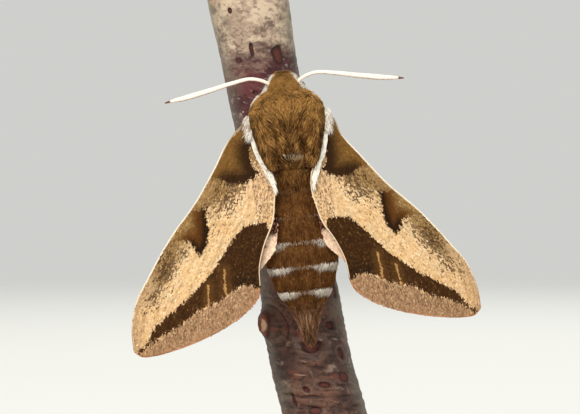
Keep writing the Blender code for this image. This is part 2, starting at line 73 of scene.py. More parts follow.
def triples(*values):
    # arrays or single numbers side by side, as a last axis
    return np.stack(np.broadcast_arrays(*values), -1)


def smoothStep(low, high, values):
    t = np.clip((np.asarray(values, float) - low) / (high - low), 0, 1)
    return t * t * (3 - 2 * t)


def through(keys, values, at):
    # smooth values between keys that rise, passing through each
    keys, values = np.asarray(keys, float), np.asarray(values, float)
    slope = np.gradient(values, keys, axis=0)
    at = np.clip(np.atleast_1d(np.asarray(at, float)), keys[0], keys[-1])
    k = np.clip(np.searchsorted(keys, at, side="right") - 1, 0, len(keys) - 2)
    span = (keys[k + 1] - keys[k])[:, None]
    t = (at - keys[k])[:, None] / span
    rise = 3 * t**2 - 2 * t**3
    start = values[k] + span * slope[k] * (t**3 - 2 * t**2 + t)
    return start + rise * (values[k + 1] - values[k]) + span * slope[k + 1] * (t**3 - t**2)


def lineThrough(points, shares):
    points = np.array(points, float)
    chord = np.r_[0, np.cumsum(np.linalg.norm(np.diff(points, axis=0), axis=1))]
    return through(chord, points, np.asarray(shares, float) * chord[-1])


def section(table, z):
    rows = np.array(sorted(table), float)
    return through(rows[:, 0], rows[:, 1:], z)


# Meshes and pieces


def linked(name, data):
    obj = bpy.data.objects.new(name, data)
    bpy.context.scene.collection.objects.link(obj)
    return obj


def meshObject(name, points, faceSets, material, smooth=True):
    # points in mm in the world, face sets as arrays of equal faces
    mesh = bpy.data.meshes.new(name)
    corners = np.concatenate([f.ravel() for f in faceSets]).astype(np.int32)
    sizes = np.concatenate([np.full(len(f), f.shape[1]) for f in faceSets])
    mesh.vertices.add(len(points))
    mesh.vertices.foreach_set("co", (np.asarray(points) * mm).astype(np.float32).ravel())
    mesh.loops.add(len(corners))
    mesh.loops.foreach_set("vertex_index", corners)
    mesh.polygons.add(len(sizes))
    mesh.polygons.foreach_set("loop_start", np.r_[0, np.cumsum(sizes)[:-1]].astype(np.int32))
    mesh.update(calc_edges=True)
    mesh.polygons.foreach_set("use_smooth", np.full(len(sizes), smooth))
    mesh.materials.append(material)
    return linked(name, mesh)


def setMarks(obj, **marks):
    # one value or one triple for each vertex, which the materials read by name
    for name, values in marks.items():
        values = np.asarray(values, np.float32)
        kind, key = ("FLOAT_VECTOR", "vector") if values.ndim > 1 else ("FLOAT", "value")
        layer = obj.data.attributes.new(name, kind, "POINT")
        layer.data.foreach_set(key, values.ravel())


def setBakeMap(obj, places):
    layer = obj.data.uv_layers.new(name="OFBake")
    index = np.empty(len(obj.data.loops), np.int32)
    obj.data.loops.foreach_get("vertex_index", index)
    layer.data.foreach_set("uv", places[index].astype(np.float32).ravel())


def settle(obj, slotName, *nodes):
    if nodes:
        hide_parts(*nodes)
    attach(obj, "root")
    return obj


def gridFaces(rows, columns, wrap=False):
    across = columns if wrap else columns - 1
    i, j = np.meshgrid(np.arange(rows - 1), np.arange(across), indexing="ij")
    a, b = i * columns + j, i * columns + (j + 1) % columns
    return np.stack([a, b, b + columns, a + columns], axis=-1).reshape(-1, 4)


def sheetFaces(rows, columns, side):
    # faces of a closed sheet whose points are those of one face, then those of the other
    count, quads = rows * columns, gridFaces(rows, columns)
    ring = np.concatenate([np.arange(columns), np.arange(1, rows) * columns + columns - 1,
                           (rows - 1) * columns + np.arange(columns - 2, -1, -1),
                           np.arange(rows - 2, 0, -1) * columns])
    following = np.roll(ring, -1)
    sets = [quads[:, ::-1], quads + count, np.stack([ring, following, following + count, ring + count], -1)]
    return sets if side > 0 else [faces[:, ::-1] for faces in sets]


def tube(line, radii, around, flat=(0.31, 0.2, 0.93)):
    # closed round tube in mm along a line, its ends drawn in to a point
    line, radii = np.asarray(line, float), np.asarray(radii, float)
    along = unit(np.gradient(line, axis=0))
    one = unit(np.cross(along, flat))
    two = np.cross(along, one)
    turn = np.linspace(0, 2 * math.pi, around, endpoint=False)[None, :, None]
    outward = np.cos(turn) * one[:, None] + np.sin(turn) * two[:, None]
    rings = line[:, None] + radii[:, None, None] * outward
    points = np.concatenate([rings.reshape(-1, 3), line[:1] - along[:1] * radii[0] * 0.5,
                             line[-1:] + along[-1:] * radii[-1] * 0.5])
    count = len(line) * around
    j = np.arange(around)
    first = np.stack([np.full(around, count), (j + 1) % around, j], axis=1)
    base = count - around
    last = np.stack([np.full(around, count + 1), base + j, base + (j + 1) % around], axis=1)
    return points, [gridFaces(len(line), around, True), np.concatenate([first, last])]


def joined(parts):
    # several (points, face sets, one value for each point) made one
    points, quads, tris, values, count = [], [], [], [], 0
    for place, faceSets, value in parts:
        points.append(place)
        values.append(np.broadcast_to(value, len(place)) if np.ndim(value) == 0 else value)
        for faces in faceSets:
            (quads if faces.shape[1] == 4 else tris).append(faces + count)
        count += len(place)
    sets = [np.concatenate(group) for group in (quads, tris) if group]
    return np.concatenate(points), sets, np.concatenate(values)


# Materials


def addNode(tree, kind, feeds=(), out=None, **settings):
    # feeds name or number the inputs; each takes a value or another node's output
    node = tree.nodes.new(kind)
    for key, value in settings.items():
        setattr(node, key, value)
    for key, value in feeds.items() if isinstance(feeds, dict) else enumerate(feeds):
        if isinstance(value, bpy.types.NodeSocket):
            tree.links.new(value, node.inputs[key])
        else:
            node.inputs[key].default_value = value
    return node if out is None else node.outputs[out]


def newMaterial(name, **shader):
    material = bpy.data.materials.new(name)
    material.use_nodes = True
    tree = material.node_tree
    surface = tree.nodes["Principled BSDF"]
    for key, value in shader.items():
        surface.inputs[key.replace("_", " ")].default_value = value
    return material, tree


def layered(tree, base, *coats):
    # a coat is what drives it, where it starts and is full, its share and its colour
    for drive, start, full, share, colour in coats:
        cover = addNode(tree, "ShaderNodeMapRange", (drive, start, full, 0.0, share), 0,
                        interpolation_type="SMOOTHSTEP")
        base, colour = (toLinear(c) if isinstance(c, str) else c for c in (base, colour))
        base = addNode(tree, "ShaderNodeMix", {0: cover, 6: base, 7: colour}, 2, data_type="RGBA")
    return base


def finishMaterial(material, colour, level, height, distance, strength):
    # colour times a level that varies from scale to scale, and fine relief from a height
    tree = material.node_tree
    surface = tree.nodes["Principled BSDF"]
    final = addNode(tree, "ShaderNodeHueSaturation", {"Value": level, "Color": colour}, 0)
    tree.links.new(final, surface.inputs["Base Color"])
    relief = addNode(tree, "ShaderNodeBump",
                     {"Height": height, "Distance": distance, "Strength": strength}, 0)
    tree.links.new(relief, surface.inputs["Normal"])
    return material


def readMarks(tree, name, shift=0.0):
    # the three numbers of an attribute, all moved by the same shift, and the attribute itself
    read = addNode(tree, "ShaderNodeAttribute", (), "Vector", attribute_name=name)
    moved = addNode(tree, "ShaderNodeVectorMath", (read, shift), 0) if shift != 0.0 else read
    return (*addNode(tree, "ShaderNodeSeparateXYZ", (moved,)).outputs, read)


# Wings: two thin membranes a side, shingled with scales above and below
foreWing = {
    "hingeZ": (1.4, -2.3),
    "costa": [(6.1, .4), (7, -1.8), (9.4, -5.1), (12.4, -9), (16.8, -13.6), (20.4, -18.2), (22.8, -21.7),
              (23.8, -25.1), (24, -27.9)],
    "inner": [(3.1, -5), (2.4, -7.4), (2.3, -9.2), (2.6, -10.8), (3.2, -13.3), (4.9, -16.5), (5.9, -19.2),
              (6.2, -21.7)],
    "outer": [(6.7, -23), (8.7, -24.9), (11.3, -26.3), (15.3, -27.7), (18.6, -28.45), (21.4, -28.8),
              (23, -28.7)],
    # share across at the root and at the rim, and where along the wing the vein starts
    "veins": [(.20, .08, 0), (.38, .21, .25), (.42, .33, 0), (.48, .44, .46), (.55, .55, .46),
              (.62, .66, .46),
              (.70, .76, 0), (.78, .86, .3), (.86, .94, 0)],
    "cell": (.46, .42, .70),
    "leftOld": (15.1, -20.1), "leftNew": (15.6, -20.4), "leftTurnDeg": 3.2, "leftSize": (1.06, 1.03),
    "rows": 112, "columns": 72, "thickness": 0.26, "rimThickness": 0.12, "veinHeight": 0.13,
    "veinWidth": 0.2,
    "edgeRadii": ((0.1, 0.1, 0.085, 0.05), (0.06, 0.09, 0.09, 0.05), (0.05, 0.075, 0.075, 0.05)),
    "leftShoulder": (6.2, 0.5),
    "scaleWide": 0.24, "scaleLong": 0.46, "scaleRows": 140, "scaleStep": 0.165,
}

# What is drawn on the right forewing, as a few points of each patch's outline. The left wing
# is the same drawing turned and sized as the wing is.
foreMarks = {
    "band": [(3.6, -13.5), (4.1, -12.9), (5.1, -12.9), (6.8, -13.0), (8.4, -14.5), (10.0, -16.5),
             (11.8, -18.5),
             (13.6, -20.0), (15.9, -21.8), (18.5, -23.4), (20.7, -24.9), (21.4, -25.9), (22.2, -27.0),
             (23.6, -27.9), (24.3, -28.6), (22.6, -27.75), (21.3, -26.8), (19.3, -25.9), (16.95, -24.9),
             (14.75, -23.5), (13.0, -22.9), (11.7, -22.65), (10.1, -21.6), (8.4, -20.9), (7.3, -20.9),
             (6.7, -21.5), (5.6, -21.7), (5.0, -19.2), (3.9, -16.5)],
    "basal": [(4.0, 1.5), (4.7, -2.5), (4.7, -5.3), (3.9, -6.3), (5.05, -7.1), (6.4, -7.5), (8.05, -7.4),
              (8.7, -6.9), (9.7, -6.4), (10.6, -6.0), (7.5, -1.0), (6.5, 1.5)],
    "basalDark": [(4.7, -2.9), (4.7, -5.3), (4.2, -6.3), (5.2, -7.0), (6.4, -7.3), (8.0, -7.2)],
    "discal": [(11.2, -10.0), (11.4, -10.8), (11.4, -12.9), (11.9, -14.9), (12.65, -15.9), (13.0, -16.3),
               (13.5, -15.9), (13.9, -14.8), (14.6, -14.0), (16.2, -13.6), (13.8, -10.2)],
    "discalDark": [(11.3, -10.6), (11.5, -12.9), (12.0, -14.9), (12.7, -15.8), (13.1, -16.1), (13.5, -15.6),
                   (13.9, -14.8)],
    # olive stripe along the front edge, by how far in it reaches at each distance from the root
    "stripe": [(6.1, 4.0), (8.5, 2.9), (10.7, 2.2), (12.4, 2.0), (15.0, 2.0), (18.0, 2.0), (20.0, 1.7),
               (22.0, 1.2), (24.5, 0.8)],
    "dashes": [((10.2, -18.4), (10.6, -21.6)), ((12.6, -20.2), (13.1, -23.0))],
    # patches of dark scales: centre, reach along, reach across, lean in degrees and share
    "specks": [((8.2, -9.3), 2.6, 1.3, -55, 0.72), ((9.8, -8.4), 1.5, 0.8, -50, 0.35),
               ((17.9, -17.4), 2.4, 1.35, -60, 0.82), ((19.6, -20.6), 2.5, 1.0, -50, 0.5),
               ((15.8, -15.9), 1.5, 0.8, -35, 0.4), ((10.8, -13.6), 1.6, 0.7, -60, 0.18)],
}

hindWing = {
    "drop": 0.85, "hingeZ": (-2.9, -5.4), "bareRoot": (4.6, -8.6),
    "costa": [(7, -6), (11.5, -11), (15.6, -16), (17.4, -19.6), (17.3, -21.4)],
    "inner": [(3.15, -8), (2.95, -12), (3.1, -15), (3.7, -16.9), (4.5, -17.8)],
    "outer": [(6.6, -19.9), (9.6, -22.2), (13.2, -23.4), (16.2, -22.7)],
    "veins": [(.22, .14, 0), (.40, .34, 0), (.52, .50, .45), (.64, .66, .45), (.80, .84, 0)],
    "cell": (.45, .40, .64),
    "rows": 70, "columns": 44, "thickness": 0.2, "rimThickness": 0.12, "veinHeight": 0.1, "veinWidth": 0.2,
    "scaleWide": 0.3, "scaleLong": 0.55, "scaleRows": 70, "scaleStep": 0.24,
}

thorax = [(4.0, 3.3, 3.0, .15), (3.7, 4.0, 3.75, .05), (3.2, 4.55, 4.3, -.05), (2.4, 4.85, 4.8, -.15),
          (1.2, 4.9, 5.0, -.3), (-.5, 4.7, 5.0, -.3), (-2.0, 4.4, 4.8, -.25), (-3.6, 4.05, 4.45, -.15),
          (-5.2, 3.5, 3.9, .1), (-6.2, 2.9, 3.2, .4)]
abdomen = [(-6.5, 3.6, 3.4, .6), (-9, 4.5, 3.9, .9), (-13, 4.95, 4.2, 1.1), (-17.5, 5.1, 4.25, 1.2),
           (-20, 4.75, 3.9, 1.2), (-22.3, 4.1, 3.4, 1.3), (-25.1, 2.45, 2.2, 1.6), (-27, 1.7, 1.6, 1.9),
           (-28.6, 1.15, 1.0, 2.1)]
headShape = [(4.3, 2.9, 2.8, .15), (4.8, 3.1, 2.9, .25), (5.4, 2.85, 2.6, .35), (6.1, 2.35, 2.2, .5),
             (6.8, 1.8, 1.6, .6), (7.3, 1.1, .95, .65), (7.6, .5, .45, .65)]
segmentEnds = (-9.3, -12.8, -16.3, -19.6, -23.2, -25.3)


# shared by both wings: waves of the sheet, how much of a vein shows below, and how scales lie
wingRelief = {"sway": 0.05, "veinBelow": 0.4, "margin": 0.25}
scaleLie = {"lastRow": 0.992, "clear": 0.17, "step": 0.004, "sunk": 0.015, "tilt": (0.022, 0.06),
            "skew": 0.3, "ridge": 0.02}
mapSpot = 0.003     # width of one scale or tuft on its bake map


def roof(x):
    # depth of the forewings' middle surface, like a low roof over the abdomen
    out = np.abs(x) - 3.0
    return -3.75 + 0.2 * out + 0.004 * np.maximum(out, 0) ** 2


def bodyBack(x, z):
    width, depth, centre = section(thorax if z > -6.35 else abdomen, z)[0]
    step = 0 if z > -6.35 else 0.16
    return centre - depth * math.sqrt(max(1 - (x / width) ** 2, 0)) - step


def hindLevel(x, z):
    under = roof(x) + hindWing["drop"]
    if z <= -24:
        return under
    return min(under, bodyBack(x, z) - 0.56)


def wingEdges(wing, side):
    def own(points):
        points = np.array(points, float)
        if side > 0 or "leftTurnDeg" not in wing:
            return points
        a = math.radians(wing["leftTurnDeg"])
        turn = np.array([[math.cos(a), math.sin(a)], [-math.sin(a), math.cos(a)]])
        return (points - wing["leftOld"]) @ turn.T * wing["leftSize"] + wing["leftNew"]

    hingeY = float(roof(3.6)) + wing.get("drop", 0)
    roots = []
    for z in wing["hingeZ"]:
        width, depth, centre = section(thorax, z)[0]
        roots.append((width * math.sqrt(1 - ((hingeY - centre) / depth) ** 2) - 0.5, z))
    front = [roots[0], *own(wing["costa"])]
    if side < 0 and "leftShoulder" in wing:
        front[1] = wing["leftShoulder"]
    back = [roots[1], *own(wing["inner"])]
    return front, back, [back[-1], *own(wing["outer"]), front[-1]]


def veinField(wing, p, q, span):
    # 1 on a vein, fading to its foot
    height = np.zeros_like(p)
    for low, high, start in wing["veins"]:
        off = (q - (low + (high - low) * p)) * span
        ridge = np.exp(-(off / wing["veinWidth"]) ** 2) * smoothStep(start - .02, start, p)
        height = np.maximum(height, ridge)
    at, low, high = wing["cell"]
    closing = np.exp(-((p - at) * 30 / wing["veinWidth"]) ** 2) * ((q > low) & (q < high))
    return np.maximum(height, closing)


def edgeDistance(points, outline, closed=True):
    # signed distance to an outline, above zero inside; an open line gives plain distance
    line = np.array(outline, float)
    ends = np.roll(line, -1, axis=0) if closed else line[1:]
    starts = line if closed else line[:-1]
    flat = points.reshape(-1, 2)
    best = np.full(len(flat), 1e9)
    inside = np.zeros(len(flat), bool)
    for a, b in zip(starts, ends):
        run = b - a
        t = np.clip(((flat - a) @ run) / (run @ run), 0, 1)
        best = np.minimum(best, np.linalg.norm(flat - a - t[:, None] * run, axis=1))
        if closed:
            crosses = (a[1] > flat[:, 1]) != (b[1] > flat[:, 1])
            at = a[0] + (flat[:, 1] - a[1]) / (b[1] - a[1] + 1e-12) * run[0]
            inside ^= crosses & (flat[:, 0] < at)
    return (np.where(inside, best, -best) if closed else best).reshape(points.shape[:-1])


def foreDrawing(place, p, q, span):
    # the forewing's drawing at places on the right wing: three triples for the material
    edges = wingEdges(foreWing, 1)
    costaLine = lineThrough(edges[0], np.linspace(0, 1, 40))
    rimLine = lineThrough(edges[2], np.linspace(0, 1, 50))
    costa = edgeDistance(place, costaLine, False)
    rim = edgeDistance(place, rimLine, False)
    band = edgeDistance(place, foreMarks["band"])
    basal = edgeDistance(place, foreMarks["basal"])
    discal = edgeDistance(place, foreMarks["discal"])
    stripe = np.array(foreMarks["stripe"])
    olive = np.interp(place[..., 0], stripe[:, 0], stripe[:, 1]) - costa
    tints = [edgeDistance(place, foreMarks[name], False) for name in ("basalDark", "discalDark")]
    bandLine = np.array(foreMarks["band"][15:28])[::-1]
    order = np.argsort(bandLine[:, 0])
    lower = np.interp(place[..., 0], bandLine[order, 0], bandLine[order, 1])
    outer = (lower + 0.4 - place[..., 1]) * (place[..., 0] > 5)
    specks = np.zeros_like(costa)
    for centre, along, across, lean, share in foreMarks["specks"]:
        a = math.radians(lean)
        dx, dz = place[..., 0] - centre[0], place[..., 1] - centre[1]
        u, v = dx * math.cos(a) + dz * math.sin(a), dz * math.cos(a) - dx * math.sin(a)
        specks = np.maximum(specks, share * np.exp(-(u / along) ** 2 - (v / across) ** 2))
    dash = np.min([edgeDistance(place, pair, False) for pair in foreMarks["dashes"]], axis=0)
    vein = veinField(foreWing, p, q, span)
    return {"patches": triples(band, basal, discal), "zones": triples(olive, outer, specks),
            "edges": triples(costa, rim, vein), "tints": triples(*tints, dash)}


def hindDrawing(place, p, q, span):
    edges = wingEdges(hindWing, 1)
    costa = edgeDistance(place, lineThrough(edges[0], np.linspace(0, 1, 30)), False)
    inner = edgeDistance(place, lineThrough(edges[1], np.linspace(0, 1, 30)), False)
    rim = edgeDistance(place, lineThrough(edges[2], np.linspace(0, 1, 40)), False)
    vein = veinField(hindWing, p, q, span)
    return {"patches": triples(inner, p, q), "edges": triples(costa, rim, vein)}


def wingSheet(wing, side, level, p, q):
    # middle surface, places on the right wing, thickness, span and veins at shares along (p)
    # and across (q)
    def plan(front, back, rim):
        p1, q1 = p[:, None], q[:, None]
        tipLine = lineThrough(back, [1])[0] * (1 - q1) + lineThrough(front, [1])[0] * q1
        flat = (1 - q1) * lineThrough(back, p) + q1 * lineThrough(front, p)
        return flat + p1 * (lineThrough(rim, q) - tipLine)

    own = wingEdges(wing, side)
    here, place = plan(*own), plan(*wingEdges(wing, 1))
    spans = np.linalg.norm(lineThrough(own[0], p) - lineThrough(own[1], p), axis=1)
    veins = veinField(wing, p, q, spans)
    inside = smoothStep(0, wingRelief["margin"], np.minimum(np.minimum(1 - p, q * 0.5), (1 - q) * 0.5))
    thick = wing["rimThickness"] + (wing["thickness"] - wing["rimThickness"]) * inside
    return triples(side * here[:, 0], level(here), here[:, 1]), place, thick, spans, veins


def wingFace(wing, middle, place, thick, veins, face, sunk=0.0):
    # places on the face towards the back (-1) or the belly (1)
    sway = wingRelief["sway"] * np.sin(place[:, 0] * 0.9 + place[:, 1] * 0.6)
    vein = wing["veinHeight"] * veins * (1.0 if face < 0 else -wingRelief["veinBelow"])
    return middle + np.array([0, face, 0.0]) * (thick / 2 + vein - face * sway - sunk)[:, None]


def makeWing(wing, side, word, kind, level, drawing, upper, under):
    rows, columns = wing["rows"], wing["columns"]
    shares = np.meshgrid(np.linspace(0, 1, rows), np.linspace(0, 1, columns), indexing="ij")
    p, q = (share.ravel() for share in shares)
    middle, place, thick, span, veins = wingSheet(wing, side, level, p, q)
    points = np.concatenate([wingFace(wing, middle, place, thick, veins, face) for face in (-1, 1)])
    marks = drawing(place, p, q, span)
    marks["place"] = triples(*place.T, 0.5)
    sets = sheetFaces(rows, columns, side)
    wingObject = meshObject(f"{kind}_{word}", mothToWorld(points), sets, upper)
    wingObject.data.materials.append(under)
    which = np.repeat([0, 1, 0], [len(faces) for faces in sets]).astype(np.int32)
    wingObject.data.polygons.foreach_set("material_index", which)
    setMarks(wingObject, **{name: np.tile(values, (2, 1)) for name, values in marks.items()})
    for face, material in ((-1, upper), (1, under)):
        addScales(wing, side, word, kind, level, drawing, face, material)
    return wingObject


def addScales(wing, side, word, kind, level, drawing, face, material):
    # rows of overlapping scales, each one closed and flat, pointing from the root to the rim
    along, across = [], []
    probe = np.linspace(0, 1, 40)
    front, back = wingEdges(wing, 1)[:2]
    spans = np.linalg.norm(lineThrough(front, probe) - lineThrough(back, probe), axis=1)
    for row in range(wing["scaleRows"]):
        p = (row + 0.5) / wing["scaleRows"] * scaleLie["lastRow"]
        span = np.interp(p, probe, spans)
        number = int(span / wing["scaleStep"])
        shares = (np.arange(number) + 0.5 * (row % 2) + 0.25 + rng.normal(0, 0.16, number)) / number
        along.append(np.clip(p + rng.normal(0, 0.0022, number), 0.002, 0.987))
        margin = scaleLie["clear"] / span
        across.append(np.clip(shares, 0.4 * margin, 1 - margin))
    p, q = np.concatenate(along), np.concatenate(across)
    if "bareRoot" in wing:
        # none where the wing's root lies in the body's fur
        place = wingSheet(wing, side, level, p, q)[1]
        kept = (place[:, 0] > wing["bareRoot"][0]) | (place[:, 1] < wing["bareRoot"][1])
        p, q = p[kept], q[kept]
    here, place, thick, span, veins = wingSheet(wing, side, level, p, q)
    step = scaleLie["step"]
    ahead, behind, beside, before = (wingSheet(wing, side, level, *near)[0] for near in (
        (np.minimum(p + step, 1), q), (np.maximum(p - step, 0), q),
        (p, np.minimum(q + step, 1)), (p, np.maximum(q - step, 0))))
    run, aside = unit(ahead - behind), unit(beside - before)
    run = unit(run + aside * rng.normal(0, 0.16, len(p))[:, None])
    up = np.cross(run, aside)
    up = unit(up) * np.sign(up[:, 1:2] * face)
    aside = np.cross(run, up)
    root = wingFace(wing, here, place, thick, veins, face, scaleLie["sunk"])
    size = rng.normal(1, 0.1, len(p)) * (0.72 + 0.28 * smoothStep(0, .3, p))
    rise = up * rng.uniform(*scaleLie["tilt"], len(p))[:, None]
    run = run * (wing["scaleLong"] * size)[:, None]
    half = aside * (wing["scaleWide"] * size / 2)[:, None]
    skew = rng.uniform(-scaleLie["skew"], scaleLie["skew"], len(p))[:, None]
    corners = np.stack([root,
                        root + run * 0.62 + half + rise * 0.5,
                        root + run + half * (0.45 + skew) + rise,
                        root + run * 0.97 - half * (0.45 - skew) + rise,
                        root + run * 0.62 - half + rise * 0.5,
                        root + run * 0.6 + rise * 0.5 + up * scaleLie["ridge"]], axis=1)
    base = (np.arange(len(p)) * 6)[:, None, None]
    top, low = [[0, 1, 5], [1, 2, 5], [2, 3, 5], [3, 4, 5], [4, 0, 5]], [[0, 4, 3], [0, 3, 2], [0, 2, 1]]
    faces = np.concatenate([(base + np.array(part)).reshape(-1, 3) for part in (top, low)])
    # the first scale tells which way round the faces have to go
    first = corners[0]
    if np.cross(first[1] - first[0], first[5] - first[0]) @ up[0] < 0:
        faces = faces[:, ::-1]
    name = f"{kind}_{word}_scales_{'upper' if face < 0 else 'under'}"
    obj = meshObject(name, mothToWorld(corners.reshape(-1, 3)), [faces], material, False)
    marks = drawing(place, p, q, span)
    marks["place"] = triples(*place.T, rng.random(len(p)))
    setMarks(obj, **{name: np.repeat(values, 6, axis=0) for name, values in marks.items()})
    spot = np.array([[0, -.5], [.5, .1], [.2, .5], [-.2, .5], [-.5, .1], [0, 0.0]]) * mapSpot
    setBakeMap(obj, ((0.01 + 0.98 * triples(p, q))[:, None] + spot).reshape(-1, 2))
    settle(obj, "wing_scales" if kind == "forewing" else "hindwing_scales")
    print(name, len(p), "scales")


def foreLevel(plan):
    return roof(plan[..., 0])


def hindDepth(plan):
    flat = plan.reshape(-1, 2)
    return np.array([hindLevel(x, z) for x, z in flat]).reshape(plan.shape[:-1])


def scaleCells(tree, place, perMm):
    # places laid flat on the wing, and three random numbers for each cell of the pattern
    flat = addNode(tree, "ShaderNodeMapping", {0: place, "Scale": (1, 1, 0)}, 0)
    cell = addNode(tree, "ShaderNodeTexVoronoi", {"Vector": flat, "Scale": perMm}, "Color")
    return flat, addNode(tree, "ShaderNodeSeparateColor", (cell,)).outputs


def finishScales(material, colour, flat, shade, brightest, distance, strength):
    # fine ridges along the scales, and a level of its own for each
    tree = material.node_tree
    ridges = addNode(tree, "ShaderNodeTexNoise", {"Vector": flat, "Scale": 9.0, "Detail": 2.0}, 0)
    level = addNode(tree, "ShaderNodeMapRange", (shade, 0.0, 1.0, 0.84, brightest), 0)
    return finishMaterial(material, colour, level, ridges, distance, strength)


def wingScaleMaterial():
    # Wing scales: flat chitin plates in rows, dull, each of one colour. Real ones are 0.1 mm
    # wide; they are drawn 0.24 mm wide so that they show.
    material, tree = newMaterial("wing scales upper", Roughness=0.72, Specular_IOR_Level=0.08)
    px, pz, shade, place = readMarks(tree, "place")
    flat, (one, two, three) = scaleCells(tree, place, 8.0)
    broad = addNode(tree, "ShaderNodeTexNoise", {"Vector": flat, "Scale": 0.5, "Detail": 3.0}, 0)
    rough = addNode(tree, "ShaderNodeTexNoise", {"Vector": flat, "Scale": 2.6, "Detail": 2.0}, 0)
    # streaks run from the root to the rim, as the scales' rows do
    turned = addNode(tree, "ShaderNodeMapping", {0: flat, "Rotation": (0, 0, math.radians(52)),
                                                 "Scale": (0.28, 2.2, 1)}, 0)
    streak = addNode(tree, "ShaderNodeTexNoise", {"Vector": turned, "Scale": 1.6, "Detail": 3.0}, 0)
    # how far an edge wanders and how far single scales cross it, in mm
    tooth = addNode(tree, "ShaderNodeMapRange", (rough, 0.3, 0.7, -0.15, 0.15), 0)
    waver = addNode(tree, "ShaderNodeMath", (one, 0.26, tooth), 0, operation="MULTIPLY_ADD")
    band, basal, discal = readMarks(tree, "patches", waver)[:3]
    frayed = addNode(tree, "ShaderNodeMath", (one, 1.5, tooth), 0, operation="MULTIPLY_ADD")
    olive, outer = readMarks(tree, "zones", frayed)[:2]
    specks = readMarks(tree, "zones")[2]
    # a scale is dark where its own number is under the share of dark scales there
    clumped = addNode(tree, "ShaderNodeMapRange", (rough, 0.3, 0.65, 0.45, 1.5), 0)
    share = addNode(tree, "ShaderNodeMath", (specks, clumped), 0, operation="MULTIPLY")
    speckled = addNode(tree, "ShaderNodeMath", (share, one), 0, operation="SUBTRACT")
    costa, rim, vein = readMarks(tree, "edges")[:3]
    basalDark, discalDark, dash = readMarks(tree, "tints")[:3]
    ground = layered(tree, "#E2BC8B",
                     (broad, 0.38, 0.64, 0.8, "#DCC19A"),
                     (pz, -12.5, -8.0, 0.5, "#DBB996"),
                     (pz, -18.0, -26.0, 0.45, "#CCA074"),
                     (two, 0.5, 0.9, 0.6, "#BF935F"),
                     (three, 0.9, 0.95, 0.6, "#8B6740"),
                     (one, 0.84, 0.94, 0.5, "#F0D9B2"),
                     (streak, 0.55, 0.7, 0.3, "#C9A072"))
    greyed = layered(tree, "#A98360",
                     (two, 0.25, 0.7, 0.7, "#7E5E44"),
                     (three, 0.76, 0.86, 0.6, "#523825"),
                     (one, 0.78, 0.9, 0.5, "#D2B08A"),
                     (rim, 2.2, 0.4, 0.35, "#A07A5A"))
    # pale lines run along the front edge, about 0.6 mm apart
    waved = addNode(tree, "ShaderNodeMath", (streak, 5.0, costa), 0, operation="MULTIPLY_ADD")
    phase = addNode(tree, "ShaderNodeMath", (waved, 10.5), 0, operation="MULTIPLY")
    lines = addNode(tree, "ShaderNodeMath", (phase,), 0, operation="SINE")
    oliveTone = layered(tree, "#8D6A3B",
                        (streak, 0.42, 0.56, 0.8, "#6A4B26"),
                        (streak, 0.62, 0.72, 0.6, "#B59565"),
                        (px, 15.0, 18.5, 0.45, "#6C4C2A"),
                        (px, 18.5, 21.0, 0.9, "#BF9C76"),
                        (two, 0.6, 0.9, 0.4, "#A98858"),
                        (three, 0.74, 0.86, 0.55, "#5E4227"),
                        (lines, 0.5, 0.95, 0.5, "#B89B6C"))
    darkTone = layered(tree, "#331C07",
                       (band, 0.5, 0.1, 0.8, "#281606"),
                       (pz, -17.8, -20.8, 0.8, "#1D1006"),
                       (px, 8.6, 10.2, 1.0, "#38200A"),
                       (streak, 0.45, 0.65, 0.35, "#482B10"),
                       (two, 0.6, 0.9, 0.3, "#65451F"),
                       (three, 0.95, 0.98, 0.35, "#8B683D"),
                       (dash, 1.3, 0.3, 0.35, "#6A4620"),
                       (band, 0.28, 0.05, 0.8, "#281606"))
    basalTone = layered(tree, "#745125",
                        (streak, 0.42, 0.62, 0.6, "#5E4019"),
                        (two, 0.8, 0.92, 0.4, "#98703E"),
                        (basalDark, 2.5, 0.6, 0.96, "#2A1707"))
    discalTone = layered(tree, oliveTone,
                         (discalDark, 2.7, 1.4, 1.0, "#5E3A14"),
                         (discalDark, 1.7, 0.9, 0.8, "#4A290B"),
                         (discalDark, 1.1, 0.35, 0.95, "#231205"))
    colour = layered(tree, ground,
                     (vein, 0.5, 1.0, 0.28, "#BE935F"),
                     (outer, 0.65, 1.0, 1.0, greyed),
                     (olive, 0.5, 1.0, 0.92, oliveTone),
                     (speckled, -0.05, 0.06, 0.85, "#432C16"),
                     (basal, 0.08, 0.2, 1.0, basalTone),
                     (discal, 0.0, 0.26, 1.0, discalTone),
                     (band, 0.08, 0.2, 1.0, darkTone),
                     (dash, 0.15, 0.07, 0.75, "#C0925A"),
                     (costa, 0.16, 0.08, 1.0, "#EBDCC2"),
                     (rim, 0.34, 0.2, 0.75, "#A9683D"))
    return finishScales(material, colour, flat, shade, 1.16, 0.00004, 0.4)


def wingUnderMaterial(name, low, high):
    # Underside scales: the same plates, paler and flushed with pink.
    material, tree = newMaterial(name, Roughness=0.72, Specular_IOR_Level=0.1)
    costa, rim, vein = readMarks(tree, "edges")[:3]
    shade, place = readMarks(tree, "place")[2:]
    flat, (one, two, _) = scaleCells(tree, place, 6.0)
    broad = addNode(tree, "ShaderNodeTexNoise", {"Vector": flat, "Scale": 0.4, "Detail": 3.0}, 0)
    colour = layered(tree, low,
                     (broad, 0.35, 0.7, 1.0, high),
                     (one, 0.75, 0.9, 0.5, "#8D6446"),
                     (two, 0.7, 0.9, 0.35, "#EBCBA8"),
                     (rim, 4.2, 2.6, 0.45, "#9C7355"),
                     (vein, 0.4, 1.0, 0.35, "#E0BE98"),
                     (costa, 0.5, 0.3, 1.0, "#E6D3BB"),
                     (rim, 0.25, 0.12, 0.6, "#A56D45"))
    return finishScales(material, colour, flat, shade, 1.12, 0.00006, 0.5)


